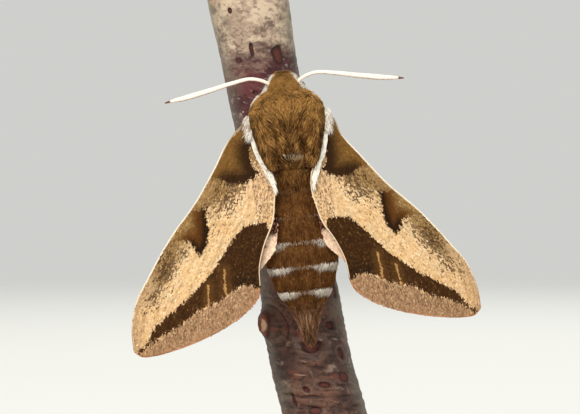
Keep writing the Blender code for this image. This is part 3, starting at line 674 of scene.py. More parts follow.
def hindWingMaterial():
    # Hindwing scales: rose with a black base and outer band, and beside the abdomen dark at
    # the waist, partly the wing's own dark base and partly painted shadow of the gap under the
    # forewing, then white hairs flushed with rose, then cream.
    material, tree = newMaterial("hindwing scales upper", Roughness=0.72, Specular_IOR_Level=0.1)
    pz, shade, place = readMarks(tree, "place")[1:]
    flat, (one, two, _) = scaleCells(tree, place, 6.0)
    jag = addNode(tree, "ShaderNodeMapRange", (two, 0.0, 1.0, -0.2, 0.2), 0)
    inner, along = readMarks(tree, "patches", jag)[:2]
    rim, vein = readMarks(tree, "edges", jag)[1:3]
    # painted shadow: dark red-brown at the waist beside the abdomen, partly the wing's own dark base
    beside = layered(tree, "#EBD0B2",
                     (pz, -14.8, -14.0, 1.0, "#3F2016"),
                     (one, 0.5, 0.9, 0.5, "#D98E7C"))
    colour = layered(tree, "#D98E7C",
                     (one, 0.7, 0.85, 0.4, "#B65C4C"),
                     (along, 0.4, 0.2, 1.0, "#2A1A14"),
                     (rim, 3.6, 3.3, 1.0, "#33201A"),
                     (rim, 1.9, 1.7, 1.0, "#DE9A84"),
                     (rim, 1.0, 0.6, 1.0, "#E5B59A"),
                     (inner, 1.6, 1.2, 1.0, beside),
                     (vein, 0.5, 1.1, 0.3, "#E8B090"))
    return finishScales(material, colour, flat, shade, 1.12, 0.00006, 0.5)


def wingEdgeMaterial():
    # The close pale scales of the wing's edges, flushed rose towards the tip.
    material, tree = newMaterial("wing edge scales", Roughness=0.65, Specular_IOR_Level=0.2)
    share, tint = readMarks(tree, "place")[:2]
    place = addNode(tree, "ShaderNodeTexCoord", (), "Object")
    grain = addNode(tree, "ShaderNodeTexNoise", {"Vector": place, "Scale": 4500.0, "Detail": 3.0}, 0)
    colour = layered(tree, "#EFE3D0",
                     (grain, 0.5, 0.7, 0.5, "#CDB08A"),
                     (share, 0.22, 0.1, 0.8, "#8A6A40"),
                     (share, 0.72, 0.97, 0.9, "#B4744A"),
                     (tint, 0.0, 1.0, 0.6, "#E2C08E"))
    return finishMaterial(material, colour, 1.0, grain, 0.00004, 0.5)


def makeWingEdges(wing, side, word, material):
    # the stiff rolled front edge and the finer inner and outer ones, below the scales' level
    for number, name in enumerate(("front", "inner", "outer")):
        shares = np.linspace(0.02, 0.995, 120)
        plan = lineThrough(wingEdges(wing, side)[number], shares)
        raised = (0.05, 0.13, 0.04)[number]
        line = triples(side * plan[:, 0], foreLevel(plan) - raised, plan[:, 1])
        radii = np.interp(shares, [0, 0.1, 0.6, 1], wing["edgeRadii"][number])
        points, sets = tube(line, radii, 10, (0, 1, 0))
        obj = meshObject(f"forewing_{word}_{name}_edge", mothToWorld(points), sets, material)
        share = (np.r_[np.repeat(shares, 10), 0, 1], np.full(len(points), 0.4), np.ones(len(points)))[number]
        setMarks(obj, place=triples(share, float(number == 1), 0))
        settle(obj, "white_scales")


edgeScales = wingEdgeMaterial()
foreUpper = wingScaleMaterial()
foreUnder = wingUnderMaterial("wing scales under", "#C9A079", "#D8AE8C")
hindUpper = hindWingMaterial()
hindUnder = wingUnderMaterial("hindwing scales under", "#CF9F83", "#DDB498")
for side, word in sides:
    settle(makeWing(foreWing, side, word, "forewing", foreLevel, foreDrawing, foreUpper, foreUnder),
           "wing_scales", f"forewing_{word}")
    makeWingEdges(foreWing, side, word, edgeScales)
    settle(makeWing(hindWing, side, word, "hindwing", hindDepth, hindDrawing, hindUpper, hindUnder),
           "hindwing_scales", f"hindwing_{word}")
print("wings done")

# Body: one skin under the coat, from the head to the tip of the abdomen

skin = {
    "headCoat": 0.2, "thoraxCoat": 0.34, "abdomenCoat": 0.17, "around": 56, "voxel": 0.2,
    # the collar of fur fills the neck, so head and thorax run into each other
    "collar": [(4.75, 3.3, 3.0, .25), (4.35, 3.75, 3.25, .17), (4.0, 4.15, 3.6, .1), (3.65, 4.45, 3.85, .03),
               (3.2, 4.75, 4.3, -.05)],
    "tegula": [(3.7, 3.5, 4.0), (3.1, 3.2, 4.75), (2.2, 3.0, 5.15), (1.0, 2.8, 5.25), (-.2, 2.65, 5.0),
               (-1.5, 2.65, 4.7), (-3, 2.7, 4.4), (-4.5, 2.75, 3.85), (-5.8, 2.95, 3.15)],
    "palp": [(1.05, 3.4, 4.6), (1.08, 3.75, 6.2), (.95, 3.0, 7.1), (.75, 2.2, 7.45)],
    "palpRadii": (.45, .38, .34, .16),
    "coxae": [(1.4, 2.4), (1.9, -.8), (1.65, -4.0)],
}
eye = {"centre": (2.0, 1.6, 5.32), "radius": 1.0, "facets": 1300, "facetWide": 0.09, "facetHigh": 0.014}


def bodyRows():
    # height, half width, half depth and middle of the skin, from the tail to the head
    rows = [(z, w - skin[coat], d - skin[coat], c) for coat, table in (
        ("headCoat", skin["collar"] + headShape[2:]), ("thoraxCoat", thorax[3:]), ("abdomenCoat", abdomen))
            for z, w, d, c in table]
    return np.array(sorted(rows), float)


def tegulaEdge(z, column):
    # how far from the middle the shoulder cover starts (1) or ends (2)
    table = np.array(sorted(skin["tegula"]), float)
    return np.interp(z, table[:, 0], table[:, column])


def tegulaDepth(x, z):
    x, z = np.broadcast_arrays(np.abs(x), z)
    wide, deep, centre = np.moveaxis(section(thorax, z.ravel()).reshape(*z.shape, 3), -1, 0)
    back = centre - deep * np.sqrt(np.clip(1 - (x / wide) ** 2, 0, 1))
    level = np.where(z < 2.0, np.minimum(back - 0.65, roof(x) - 0.995), back - 0.65)
    return np.minimum(level, -2.5)


def skinSource():
    # closed parts in the moth's frame, which the remesh fuses
    rows = bodyRows()
    heights = np.linspace(rows[-1, 0], rows[0, 0], 190)
    shape = through(rows[:, 0], rows[:, 1:], heights)
    swell = np.zeros(len(heights))
    for end in segmentEnds:
        ahead = (heights >= end) & (heights < end + 3.0)
        swell[ahead] = 0.16 * smoothStep(3.0, 0.0, (heights - end)[ahead])
    turns = np.linspace(0, 2 * math.pi, skin["around"], endpoint=False)
    wide, deep = (shape[:, 0] + swell)[:, None], (shape[:, 1] + swell)[:, None]
    rings = triples(wide * np.sin(turns), shape[:, 2:3] - deep * np.cos(turns), heights[:, None])
    count = rings.shape[0] * rings.shape[1]
    ends = np.array([[0, shape[0, 2], heights[0] + 0.1], [0, shape[-1, 2], heights[-1] - 0.2]])
    j = np.arange(skin["around"])
    after = (j + 1) % skin["around"]
    base = count - skin["around"]
    caps = np.concatenate([np.stack([np.full(len(j), count), j, after], 1),
                           np.stack([np.full(len(j), count + 1), base + after, base + j], 1)])
    trunk = (np.concatenate([rings.reshape(-1, 3), ends]),
             [gridFaces(len(heights), skin["around"], True)[:, ::-1], caps], 0.0)
    parts = [trunk]
    z = np.linspace(skin["tegula"][0][0], skin["tegula"][-1][0], 40)
    inner, outer = tegulaEdge(z, 1), tegulaEdge(z, 2)
    for side, _ in sides:
        share = np.linspace(0, 1, 18)[None, :]
        x = (inner - 0.5)[:, None] * (1 - share) + (outer - 0.3)[:, None] * share
        grid = np.broadcast_to(z[:, None], x.shape)
        edge = np.minimum(np.minimum(share, 1 - share) * 5, 1)
        top = tegulaDepth(x, grid) - 0.275 + skin["thoraxCoat"] + 0.5 * (1 - edge) ** 2
        low = top + 0.5 + 1.1 * edge
        sheet = [triples(side * x, y, grid).reshape(-1, 3) for y in (top, low)]
        parts.append((np.concatenate(sheet), sheetFaces(*x.shape, side), 0.0))
        line = np.array(skin["palp"]) * (side, 1, 1)
        shares = np.linspace(0, 1, 14)
        radii = np.interp(shares, np.linspace(0, 1, 4), skin["palpRadii"])
        parts.append((*tube(lineThrough(line, shares), radii, 14), 0.0))
        for x0, z0 in skin["coxae"]:
            line = [(side * x0 * 0.8, 2.6, z0 + 0.5), (side * x0, 3.7, z0 + 0.2), (side * x0, 4.35, z0)]
            line = lineThrough(line, np.linspace(0, 1, 8))
            parts.append((*tube(line, np.linspace(1.15, 0.5, 8), 14), 0.0))
    return joined(parts)[:2]


def makeSkin():
    points, sets = skinSource()
    raw = meshObject("skinSource", points / mm, sets, bodyFur)
    merge = raw.modifiers.new("fuse", "REMESH")
    merge.mode = "VOXEL"
    merge.voxel_size = skin["voxel"]
    relax = raw.modifiers.new("relax", "SMOOTH")
    relax.factor, relax.iterations = 0.5, 6
    graph = bpy.context.evaluated_depsgraph_get()
    made = bpy.data.meshes.new_from_object(raw.evaluated_get(graph))
    places = np.empty(len(made.vertices) * 3, np.float32)
    made.vertices.foreach_get("co", places)
    places = places.reshape(-1, 3).astype(float)
    quads = np.empty(len(made.loops), np.int32)
    made.loops.foreach_get("vertex_index", quads)
    quads = quads.reshape(-1, 4)
    bpy.data.objects.remove(raw)
    bpy.data.meshes.remove(made)
    return places, quads


# what is white, dark or rosy on the body, used alike by the skin and by every tuft
bodyMarks = {
    "edgeWide": [(-6.2, -0.3), (-4.5, 0.1), (-3, 0.25), (0, 0.25), (2.5, 0.25), (3.9, 0.25)],
    # segment end, how white its fringe is, and how far from the back's middle it starts
    "fringes": [(-9.3, 0.3, 60), (-12.8, 0.3, 40), (-16.3, 1.0, 33), (-19.7, 1.0, 30), (-23.2, 1.0, 27)],
    "fringeDeep": 0.05,
}


def bodyTurn(place):
    rows = bodyRows()
    centre = np.interp(place[..., 2], rows[:, 0], rows[:, 3])
    return np.degrees(np.arctan2(np.abs(place[..., 0]), centre - place[..., 1]))


def smoothNoise(place, scale, seed=0.0):
    shift = Vector((seed, seed * 0.7, -seed))
    values = [noise.noise(Vector(p) * scale + shift) for p in place.reshape(-1, 3)]
    return np.array(values).reshape(place.shape[:-1])


def paintBody(place):
    x, z = np.abs(place[..., 0]), place[..., 2]
    turn = bodyTurn(place)
    wander = 0.16 * smoothNoise(place, 1.6, 3.0)
    onHead = smoothStep(4.9, 5.2, z) * smoothStep(7.35, 7.1, z)
    white = smoothStep(50, 57, turn + 25 * wander) * smoothStep(114, 100, turn) * onHead
    collar = smoothStep(62, 69, turn + 25 * wander) * smoothStep(100, 86, turn) * (z > 3.9) * (z < 5.1)
    white = np.maximum(white, collar)
    rim = tegulaEdge(z, 2)
    wide = np.interp(z, *np.array(bodyMarks["edgeWide"]).T)
    shoulder = smoothStep(-0.08, 0.08, x - rim + wide + 0.7 * wander) * (z < 4.1) * (z > -6.3)
    shoulder = shoulder * smoothStep(102, 88, turn)
    white = np.maximum(white, shoulder)
    dark = np.zeros_like(x)
    for end, amount, start in bodyMarks["fringes"]:
        near = smoothStep(-bodyMarks["fringeDeep"] - 0.2, -bodyMarks["fringeDeep"], z - end + 1.5 * wander)
        near = near * smoothStep(0.34, 0.24, z - end)
        reach = smoothStep(start - 14, start + 18, turn + 90 * wander)
        reach = reach * (1 - 0.45 * smoothStep(105, 130, turn))
        white = np.maximum(white, 0.6 * amount * near * reach)
        before = smoothStep(0.3, 0.4, z - end) * smoothStep(1.2, 0.6, z - end)
        dark = np.maximum(dark, 0.6 * before * smoothStep(120, 90, turn) * smoothStep(30, 70, turn))
    onAbdomen = smoothStep(-6.6, -7.4, z)
    flank = smoothStep(50, 60, turn) * smoothStep(98, 88, turn) * smoothStep(-12.6, -12.2, z)
    dark = np.maximum(dark, onAbdomen * 0.85 * flank)
    valley = np.exp(-((x - 0.75) / 0.45) ** 2) * smoothStep(-3.8, -2.8, z)
    valley = valley * smoothStep(1.6, 0.4, z) * (turn < 60)
    dark = np.maximum(dark, 0.5 * valley)
    dark = np.maximum(dark, 0.5 * smoothStep(7.15, 7.4, z) * smoothStep(100, 80, turn))
    beside = smoothStep(-0.75, -0.35, x - rim + wide) * (1 - shoulder)
    dark = np.maximum(dark, 0.5 * beside * (z < 3.4) * (z > -6) * (turn < 90))
    shield = ((place[..., 0] - 0.15) / 2.1) ** 2 + ((z + 3.55) / 0.55) ** 2
    grey = smoothStep(1.15, 0.7, shield) * (turn < 60)
    pale = smoothStep(104, 124, turn) * (1 - 0.2 * onAbdomen)
    pale = np.maximum(pale, (z > 4.2) * smoothStep(128, 140, turn) * 0.9)
    pink = onAbdomen * smoothStep(84, 96, turn) * smoothStep(128, 110, turn) * smoothStep(-15, -18, z) * 0.8
    pink = np.maximum(pink, onAbdomen * 0.35 * smoothStep(110, 140, turn))
    return triples(white, pale, pink), triples(dark, grey, 0.5)


def furMaterial():
    # Moth fur: hair scales, dull, olive brown with paler gold strands, white along the
    # shoulders and at the segments' ends. The dark strands and the darker whites are partly
    # the hairs' own tones and partly painted shade of the gaps between hairs, and every tuft
    # has painted shade towards its root. Tufts are drawn 0.09 to 0.16 mm wide so
    # that they show; real hairs are finer.
    material, tree = newMaterial("moth fur", Roughness=0.6, Specular_IOR_Level=0.12)
    white, pale, pink = readMarks(tree, "marks")[:3]
    dark, grey, shade = readMarks(tree, "tone")[:3]
    pz, place = readMarks(tree, "place")[2:]
    along = addNode(tree, "ShaderNodeAttribute", (), "Fac", attribute_name="along")
    stretched = addNode(tree, "ShaderNodeMapping", {0: place, "Scale": (1.6, 1.6, 0.55)}, 0)
    strand = addNode(tree, "ShaderNodeTexNoise", {"Vector": stretched, "Scale": 1.5, "Detail": 4.0}, 0)
    hair = addNode(tree, "ShaderNodeTexNoise", {"Vector": stretched, "Scale": 7.0, "Detail": 2.0}, 0)
    # 0.5 on the middle strand, less on a dark one, more on a gold one; dark strands are partly the hairs'
    # own tone and partly painted shade of the gaps between hairs
    mixed = addNode(tree, "ShaderNodeMath", (shade, 0.7, strand), 0, operation="MULTIPLY_ADD")
    olive = layered(tree, "#80562A",
                    (pz, -0.5, 3.6, 0.85, "#B18346"),
                    (mixed, 0.94, 1.14, 0.85, "#C09152"),
                    (mixed, 0.8, 0.6, 0.92, "#3D240B"),
                    (pz, 0.5, 4.0, 0.35, "#B98A4C"))
    rusty = layered(tree, "#784C24",
                    (mixed, 0.92, 1.15, 0.8, "#966837"),
                    (mixed, 0.8, 0.6, 0.8, "#4B2B0E"))
    scutellum = layered(tree, "#B59C7C", (mixed, 0.95, 0.75, 1.0, "#2C1C10"))
    # painted shade: the darker white is white hair in shade, mixed at random with the bright white strand by
    # strand
    whites = layered(tree, "#C4AF99", (mixed, 0.6, 0.85, 1.0, "#F7F1E6"))
    tail = layered(tree, "#8C654A",
                   (mixed, 0.92, 1.15, 0.9, "#BC967A"),
                   (mixed, 0.8, 0.6, 0.9, "#4A2E1C"))
    colour = layered(tree, olive,
                     (pz, -5.2, -7.6, 1.0, rusty),
                     (pz, -23.4, -26.5, 0.7, tail),
                     (dark, 0.0, 1.0, 1.0, "#2A1707"),
                     (grey, 0.0, 1.0, 1.0, scutellum),
                     (pale, 0.0, 1.0, 1.0, "#BE9B7E"),
                     (pink, 0.0, 1.0, 1.0, "#C47A62"))
    # painted shade: every tuft darker towards its root, where the hairs shade each other; the whites are
    # mixed in after it
    depth = addNode(tree, "ShaderNodeMapRange", (along, 0.0, 0.7, 0.62, 1.08), 0)
    shaded = addNode(tree, "ShaderNodeHueSaturation", {"Value": depth, "Color": colour}, 0)
    final = layered(tree, shaded, (white, 0.0, 0.9, 1.0, whites))
    return finishMaterial(material, final, 1.0, hair, 0.00008, 0.6)


bodyFur = furMaterial()
skinPoints, skinQuads = makeSkin()
skinObject = meshObject("skin", mothToWorld(skinPoints), [skinQuads], bodyFur)
skinMarks, skinTone = paintBody(skinPoints)
# along 0.35 gives the skin the painted root shade of the tufts' lower parts
setMarks(skinObject, marks=skinMarks, tone=skinTone, place=skinPoints, along=np.full(len(skinPoints), 0.35))
settle(skinObject, "brown_fur", "head", "thorax", "abdomen", "tegula_left", "tegula_right", "palp_left",
       "palp_right")
skinTree = BVHTree.FromPolygons(skinPoints.tolist(), skinQuads.tolist())
print("skin done", len(skinQuads), "faces")

# Coat: tapering tufts over the skin, following the lie of the hair


def tuftPiece(name, slotName, paths, ups, wides, marks, tone, place, spots, thick=0.5):
    # each tuft is a closed ridge of three sides through the stations of its path
    number, stations = paths.shape[:2]
    runs = unit(np.gradient(paths, axis=1))
    aside = unit(np.cross(runs, ups[:, None]))
    share = np.linspace(0, 1, stations)[None, :, None]
    full = np.minimum(1, 0.55 + 1.6 * share) * (1 - 0.88 * share**2.2)     # full by a quarter, then tapering
    half = aside * wides[:, None, None] * full / 2
    rise = ups[:, None] * (wides * thick)[:, None, None] * full
    rings = np.stack([paths - half, paths + rise, paths + half], axis=2)[:, :-1]
    points = np.concatenate([rings.reshape(number, -1, 3), paths[:, -1:]], axis=1)
    size = points.shape[1]
    quads, tris = [], [(0, 1, 2)]
    for k in range(stations - 2):
        for a in range(3):
            b = (a + 1) % 3
            quads.append((3 * k + a, 3 * k + 3 + a, 3 * k + 3 + b, 3 * k + b))
    last = 3 * (stations - 2)
    for a in range(3):
        tris.append((last + a, size - 1, last + (a + 1) % 3))
    # turned round where the first tuft shows its inside
    a, b, c = points[0][list(quads[0][:3])]
    outward = np.cross(b - a, c - a) @ (points[0][1] - paths[0, 0] - half[0, 0])
    quads, tris = np.array(quads), np.array(tris)
    if outward < 0:
        quads, tris = quads[:, ::-1], tris[:, ::-1]
    base = (np.arange(number) * size)[:, None, None]
    sets = [(base + quads).reshape(-1, 4), (base + tris).reshape(-1, 3)]
    obj = meshObject(name, mothToWorld(points.reshape(-1, 3)), sets, bodyFur)
    line = np.r_[np.repeat(np.linspace(0, 1, stations)[:-1], 3), 1.0]
    each = {"marks": marks, "tone": tone, "place": place}
    setMarks(obj, **{key: np.repeat(values, size, axis=0) for key, values in each.items()},
             along=np.tile(line, number))
    acrossSpot = np.r_[np.tile([-0.5, 0, 0.5], stations - 1), 0]
    patch = triples(acrossSpot, line - 0.5) * mapSpot
    setBakeMap(obj, (spots[:, None] + patch[None]).reshape(-1, 2))
    settle(obj, slotName)
    print(name, number, "tufts")


def skinTriangles():
    tris = np.concatenate([skinQuads[:, [0, 1, 2]], skinQuads[:, [0, 2, 3]]])
    a, b, c = (skinPoints[tris[:, k]] for k in range(3))
    normal = np.cross(b - a, c - a)
    return a, b, c, np.linalg.norm(normal, axis=1) / 2, unit(normal)


skinCorners = skinTriangles()


def scatterRoots(number, keep):
    # places spread evenly over the part of the skin that the rule keeps
    a, b, c, area, normal = skinCorners
    middle = (a + b + c) / 3
    weight = area * keep(middle, bodyTurn(middle))
    steps = (np.arange(number) + rng.random(number)) / number * weight.sum()
    order = np.lexsort((middle[:, 0], np.round(middle[:, 2] * 2)))
    pick = order[np.clip(np.searchsorted(np.cumsum(weight[order]), steps), 0, len(order) - 1)]
    u, v = rng.random(number), rng.random(number)
    flip = u + v > 1
    u[flip], v[flip] = 1 - u[flip], 1 - v[flip]
    return a[pick] + u[:, None] * (b - a)[pick] + v[:, None] * (c - a)[pick], normal[pick]


def lieOfHair(place, turn):
    # unit direction of the hair before it is laid on the skin
    x, z = place[:, 0], place[:, 2]
    inward = np.zeros_like(x)
    back = (turn < 80) & (z < 3.9) & (z > -6.4)
    lean = np.interp(z, [-6.4, -5.2, -4.3, -3.2, 0, 2, 3.9], [0.6, 1.3, 1.5, 0.6, 0.85, 0.7, 0.2])
    inward[back] = (-np.tanh(x * 0.9) * lean)[back]
    rim = tegulaEdge(z, 2)
    onEdge = smoothStep(-1.5, -0.9, np.abs(x) - rim)
    inward *= 1 - 0.85 * onEdge
    head = (z >= 4.2) & (turn < 70)
    inward[head] = (np.tanh(x) * 0.25)[head]
    swirl = 0.3 * smoothNoise(place, 0.55, 11.0) + rng.normal(0, 0.12, len(x))
    return triples(inward + swirl, 0, -1)


def layTufts(roots, directions, lengths, lifts, stations):
    # paths that bend along the skin, rising a little towards their tips
    paths = np.empty((len(roots), stations, 3))
    ups = np.empty((len(roots), 3))
    for k in range(len(roots)):
        spot, normal = skinTree.find_nearest(roots[k])[:2]
        up = np.array(normal)
        ups[k] = up
        run = directions[k] - up * (directions[k] @ up)
        run /= max(np.linalg.norm(run), 1e-6)
        place = np.array(spot)
        stride = lengths[k] / (stations - 1)
        for s in range(stations):
            share = s / (stations - 1)
            lift = lifts[k] * (share * 1.35 - 0.35 * share * share) - 0.03 * (1 - share)
            paths[k, s] = place + up * lift
            if s + 1 < stations:
                spot, normal = skinTree.find_nearest(place + run * stride)[:2]
                place, up = np.array(spot), np.array(normal)
                run = run - up * (run @ up)
                run /= max(np.linalg.norm(run), 1e-6)
    return paths, ups


def unwrapSpots(place, lowZ, highZ):
    # the skin unrolled round the body's length
    rows = bodyRows()
    centre = np.interp(place[:, 2], rows[:, 0], rows[:, 3])
    around = np.arctan2(place[:, 0], centre - place[:, 1]) / (2 * math.pi) + 0.5
    length = (place[:, 2] - lowZ) / (highZ - lowZ)
    return 0.01 + 0.98 * triples(around, np.clip(length, 0, 1))


# zone in z and in degrees from the back, number, length, width, lift at the tip, stations
coats = {
    "coat_head": ((4.15, 8.0), (0, 180), 8500, 0.62, 0.09, 0.22, 3),
    "coat_thorax_back": ((-6.4, 4.7), (0, 78), 12200, 1.4, 0.15, 0.45, 4),
    "coat_thorax_side": ((-6.5, 4.3), (72, 180), 9000, 1.2, 0.16, 0.38, 3),
    "coat_abdomen_back": ((-29, -6.1), (0, 92), 17000, 0.72, 0.1, 0.13, 3),
    "coat_abdomen_under": ((-29, -6.1), (88, 180), 9500, 0.75, 0.14, 0.15, 3),
}


def addCoat(name, zoneZ, zoneTurn, number, long, wide, lift, stations):
    def keep(place, turn):
        inside = (place[:, 2] > zoneZ[0]) & (place[:, 2] < zoneZ[1])
        inside &= (turn >= zoneTurn[0]) & (turn <= zoneTurn[1])
        mirrored = place.copy()
        mirrored[:, 0] *= np.sign(place[:, 0] + 1e-9)
        return inside & (np.linalg.norm(mirrored - eye["centre"], axis=1) > eye["radius"] + 0.06)

    roots = scatterRoots(number, keep)[0]
    marks, tone = paintBody(roots)
    clumps = 0.55 * smoothNoise(roots * (1, 1, 0.4), 1.3, 5.0)
    tone[:, 2] = np.clip(rng.uniform(0.05, 0.95, number) + clumps, 0, 1)
    grow = rng.normal(1, 0.17, number).clip(0.6, 1.5)
    z = roots[:, 2]
    if name == "coat_thorax_back":
        grow *= np.interp(z, [-6.4, -5.4, -4.6, -3.6, 0, 3.0, 4.2], [1.9, 1.6, 0.75, 0.95, 1.1, 0.85, 0.6])
    grow *= 1 + 0.3 * marks[:, 0] * (z < -7)
    lifts = lift * rng.uniform(0.55, 1.15, number) * (1 + 0.5 * marks[:, 0] * (z < -7))
    if name == "coat_head":
        lifts *= 1 + 0.8 * smoothStep(6.6, 7.2, z)
    paths, ups = layTufts(roots, lieOfHair(roots, bodyTurn(roots)), long * grow, lifts, stations)
    wides = wide * rng.uniform(0.75, 1.25, number)
    spots = unwrapSpots(roots, z.min(), z.max())
    tuftPiece(name, "brown_fur", paths, ups, wides, marks, tone, roots, spots, 0.55)


for name, values in coats.items():
    addCoat(name, *values)

# longer tufts that stand out of the outline
longTufts = {
    "fringe": {"number": 1500, "long": (0.6, 0.95), "wide": 0.085},
    "base": {"number": 420, "long": (0.9, 1.7), "wide": 0.12},
    "line": {"number": 800, "long": (1.0, 1.9), "wide": 0.13,
             # height, distance from the middle and half width
             "path": [(4.5, 3.6, 0.1), (3.9, 4.2, 0.12), (3.2, 4.8, 0.15), (2.5, 5.15, 0.2),
                      (1.2, 5.45, 0.25),
                      (0, 5.35, 0.25), (-1.3, 5.1, 0.25), (-2.5, 4.85, 0.27), (-3.5, 4.6, 0.3),
                      (-4.5, 4.25, 0.35),
                      (-5.5, 3.75, 0.4), (-6.5, 3.35, 0.36), (-7.5, 3.0, 0.24), (-8.6, 2.7, 0.1)]},
    "tail": {"number": 1300, "long": (1.2, 2.7), "wide": 0.14},
    "waist": {"number": 1200, "long": (1.7, 2.7), "wide": 0.14},
}


def addWhiteTufts(name, paths, x0, z0, whites, pinks, shades, wide):
    # strands over the wings' roots and shoulders, whose ridges face the back
    spots = 0.02 + 0.96 * triples(*((v - v.min()) / np.ptp(v) for v in (x0, z0)))
    ups = np.tile([0, -1.0, 0], (len(paths), 1))
    wides = wide * rng.uniform(0.7, 1.2, len(paths))
    marks, tone = triples(whites, 0, pinks), triples(0, 0, shades)
    tuftPiece(name, "white_scales", paths, ups, wides, marks, tone, paths[:, 0], spots)


def addWingBaseTufts():
    setting = longTufts["base"]
    number, steps = setting["number"], np.linspace(0, 1, 5)
    for side, word in sides:
        share = rng.random(number)
        z0 = 1.7 - 2.5 * share + rng.normal(0, 0.12, number)
        x0 = np.interp(z0, [-1, 0.5, 1.8], [5.0, 5.25, 5.2]) + rng.uniform(-0.2, 0.45, number)
        long = rng.uniform(*setting["long"], number) * np.interp(z0, [-1.2, -0.5, 1.5], [0.9, 1.0, 0.7])
        out = np.interp(z0, [-1.2, 1.5], [0.25, 0.6]) + rng.normal(0, 0.14, number)
        runs = unit(triples(out, 0, -1))
        plan = triples(x0, 0, z0)[:, None] + runs[:, None] * (long[:, None] * steps)[..., None]
        plan[..., 0] += rng.normal(0, 0.05, (number, 1)) * steps**2 * 3
        height = 0.2 + rng.uniform(0.15, 0.75, number)[:, None] * np.sin(math.pi * (0.12 + 0.8 * steps))
        paths = triples(side * plan[..., 0], roof(plan[..., 0]) - height, plan[..., 2])
        addWhiteTufts(f"coat_wing_base_{word}", paths, x0, z0, rng.uniform(0.5, 0.95, number),
                      0.4 * rng.random(number), rng.uniform(0.3, 0.8, number), setting["wide"])


def addBodyTufts(name, zoneZ, turnLimit, fan):
    setting = longTufts[name]
    number, steps = setting["number"], np.linspace(0, 1, 5)

    def keep(place, turn):
        return (place[:, 2] > zoneZ[0]) & (place[:, 2] < zoneZ[1]) & (turn < turnLimit)

    roots, normals = scatterRoots(number, keep)
    marks, tone = paintBody(roots)
    marks[:, 0] *= 0.8 if name == "waist" else 0.2
    tone[:, 2] = rng.uniform(0.2, 0.9, number)
    tone[:, 0] *= 0.5
    if name == "tail":
        tone[:, 0] = np.maximum(tone[:, 0], rng.choice((0, 0, 0.55), number))
    long = rng.uniform(*setting["long"], number)
    runs = unit(triples(roots[:, 0] * fan + rng.normal(0, 0.09, number), normals[:, 1] * fan * 0.5, -1))
    if name == "tail":
        paths = roots[:, None] + runs[:, None] * (long[:, None] * steps)[..., None]
        paths += normals[:, None] * (0.16 * np.sin(math.pi * steps))[None, :, None]
        ups = normals
    else:
        paths, ups = layTufts(roots, runs, long, rng.uniform(0.25, 0.6, number), 5)
    wides = setting["wide"] * rng.uniform(0.7, 1.2, number)
    tuftPiece(f"coat_{name}", "brown_fur", paths, ups, wides, marks, tone, roots, unwrapSpots(roots, *zoneZ))


def addShoulderLines():
    # the white line from the collar along the shoulder cover and down beside the waist
    setting = longTufts["line"]
    keys = np.array(setting["path"])
    for side, word in sides:
        number = setting["number"]
        z0 = rng.uniform(keys[-1, 0], keys[0, 0], number)
        x0, half = through(keys[::-1, 0], keys[::-1, 1:], z0).T
        x0 = x0 + rng.uniform(-1, 1, number) * half
        long = rng.uniform(*setting["long"], number)
        long *= np.interp(z0, [-8.6, -7, -3, 3.5, 4.8], [0.55, 0.95, 1.0, 0.7, 0.45])
        steps = np.linspace(0, 1, 5)
        z = z0[:, None] - long[:, None] * steps
        lineX = through(keys[::-1, 0], keys[::-1, 1:2], z.ravel())[:, 0].reshape(z.shape)
        x = x0[:, None] + lineX - lineX[:, :1] + rng.normal(0, 0.12, (number, 1)) * steps
        x = x - np.linspace(0, 0.1, 5)
        depth = np.empty_like(x)
        for k, i in np.ndindex(x.shape):
            hit = skinTree.ray_cast((side * x[k, i], -20, z[k, i]), (0, 1, 0))[0]
            level = roof(x[k, i]) - 0.15
            if not hit and z[k, i] > 1.6:
                # beside the body, where there is no wing below
                hit = skinTree.find_nearest((side * x[k, i], -1.5, z[k, i]))[0]
                x[k, i], level = abs(hit[0]), 0.0
            depth[k, i] = min(hit[1], level) if hit else level
        # a strand that would bridge the air beside the head is left out
        kept = np.ptp(depth, axis=1) < 1.25
        z0, x0, depth, x, z = (values[kept] for values in (z0, x0, depth, x, z))
        number = len(z0)
        # each strand runs smoothly and lies over the ones below it
        depth = np.minimum(depth, np.linspace(depth[:, 0], depth[:, -1], 5).T)
        depth -= rng.uniform(0.12, 0.35, number)[:, None] * np.sin(math.pi * (0.15 + 0.75 * steps))
        addWhiteTufts(f"coat_shoulder_line_{word}", triples(side * x, depth, z), x0, z0,
                      rng.uniform(0.75, 1, number), 0.2 * rng.random(number), rng.uniform(0.3, 0.9, number),
                      setting["wide"])


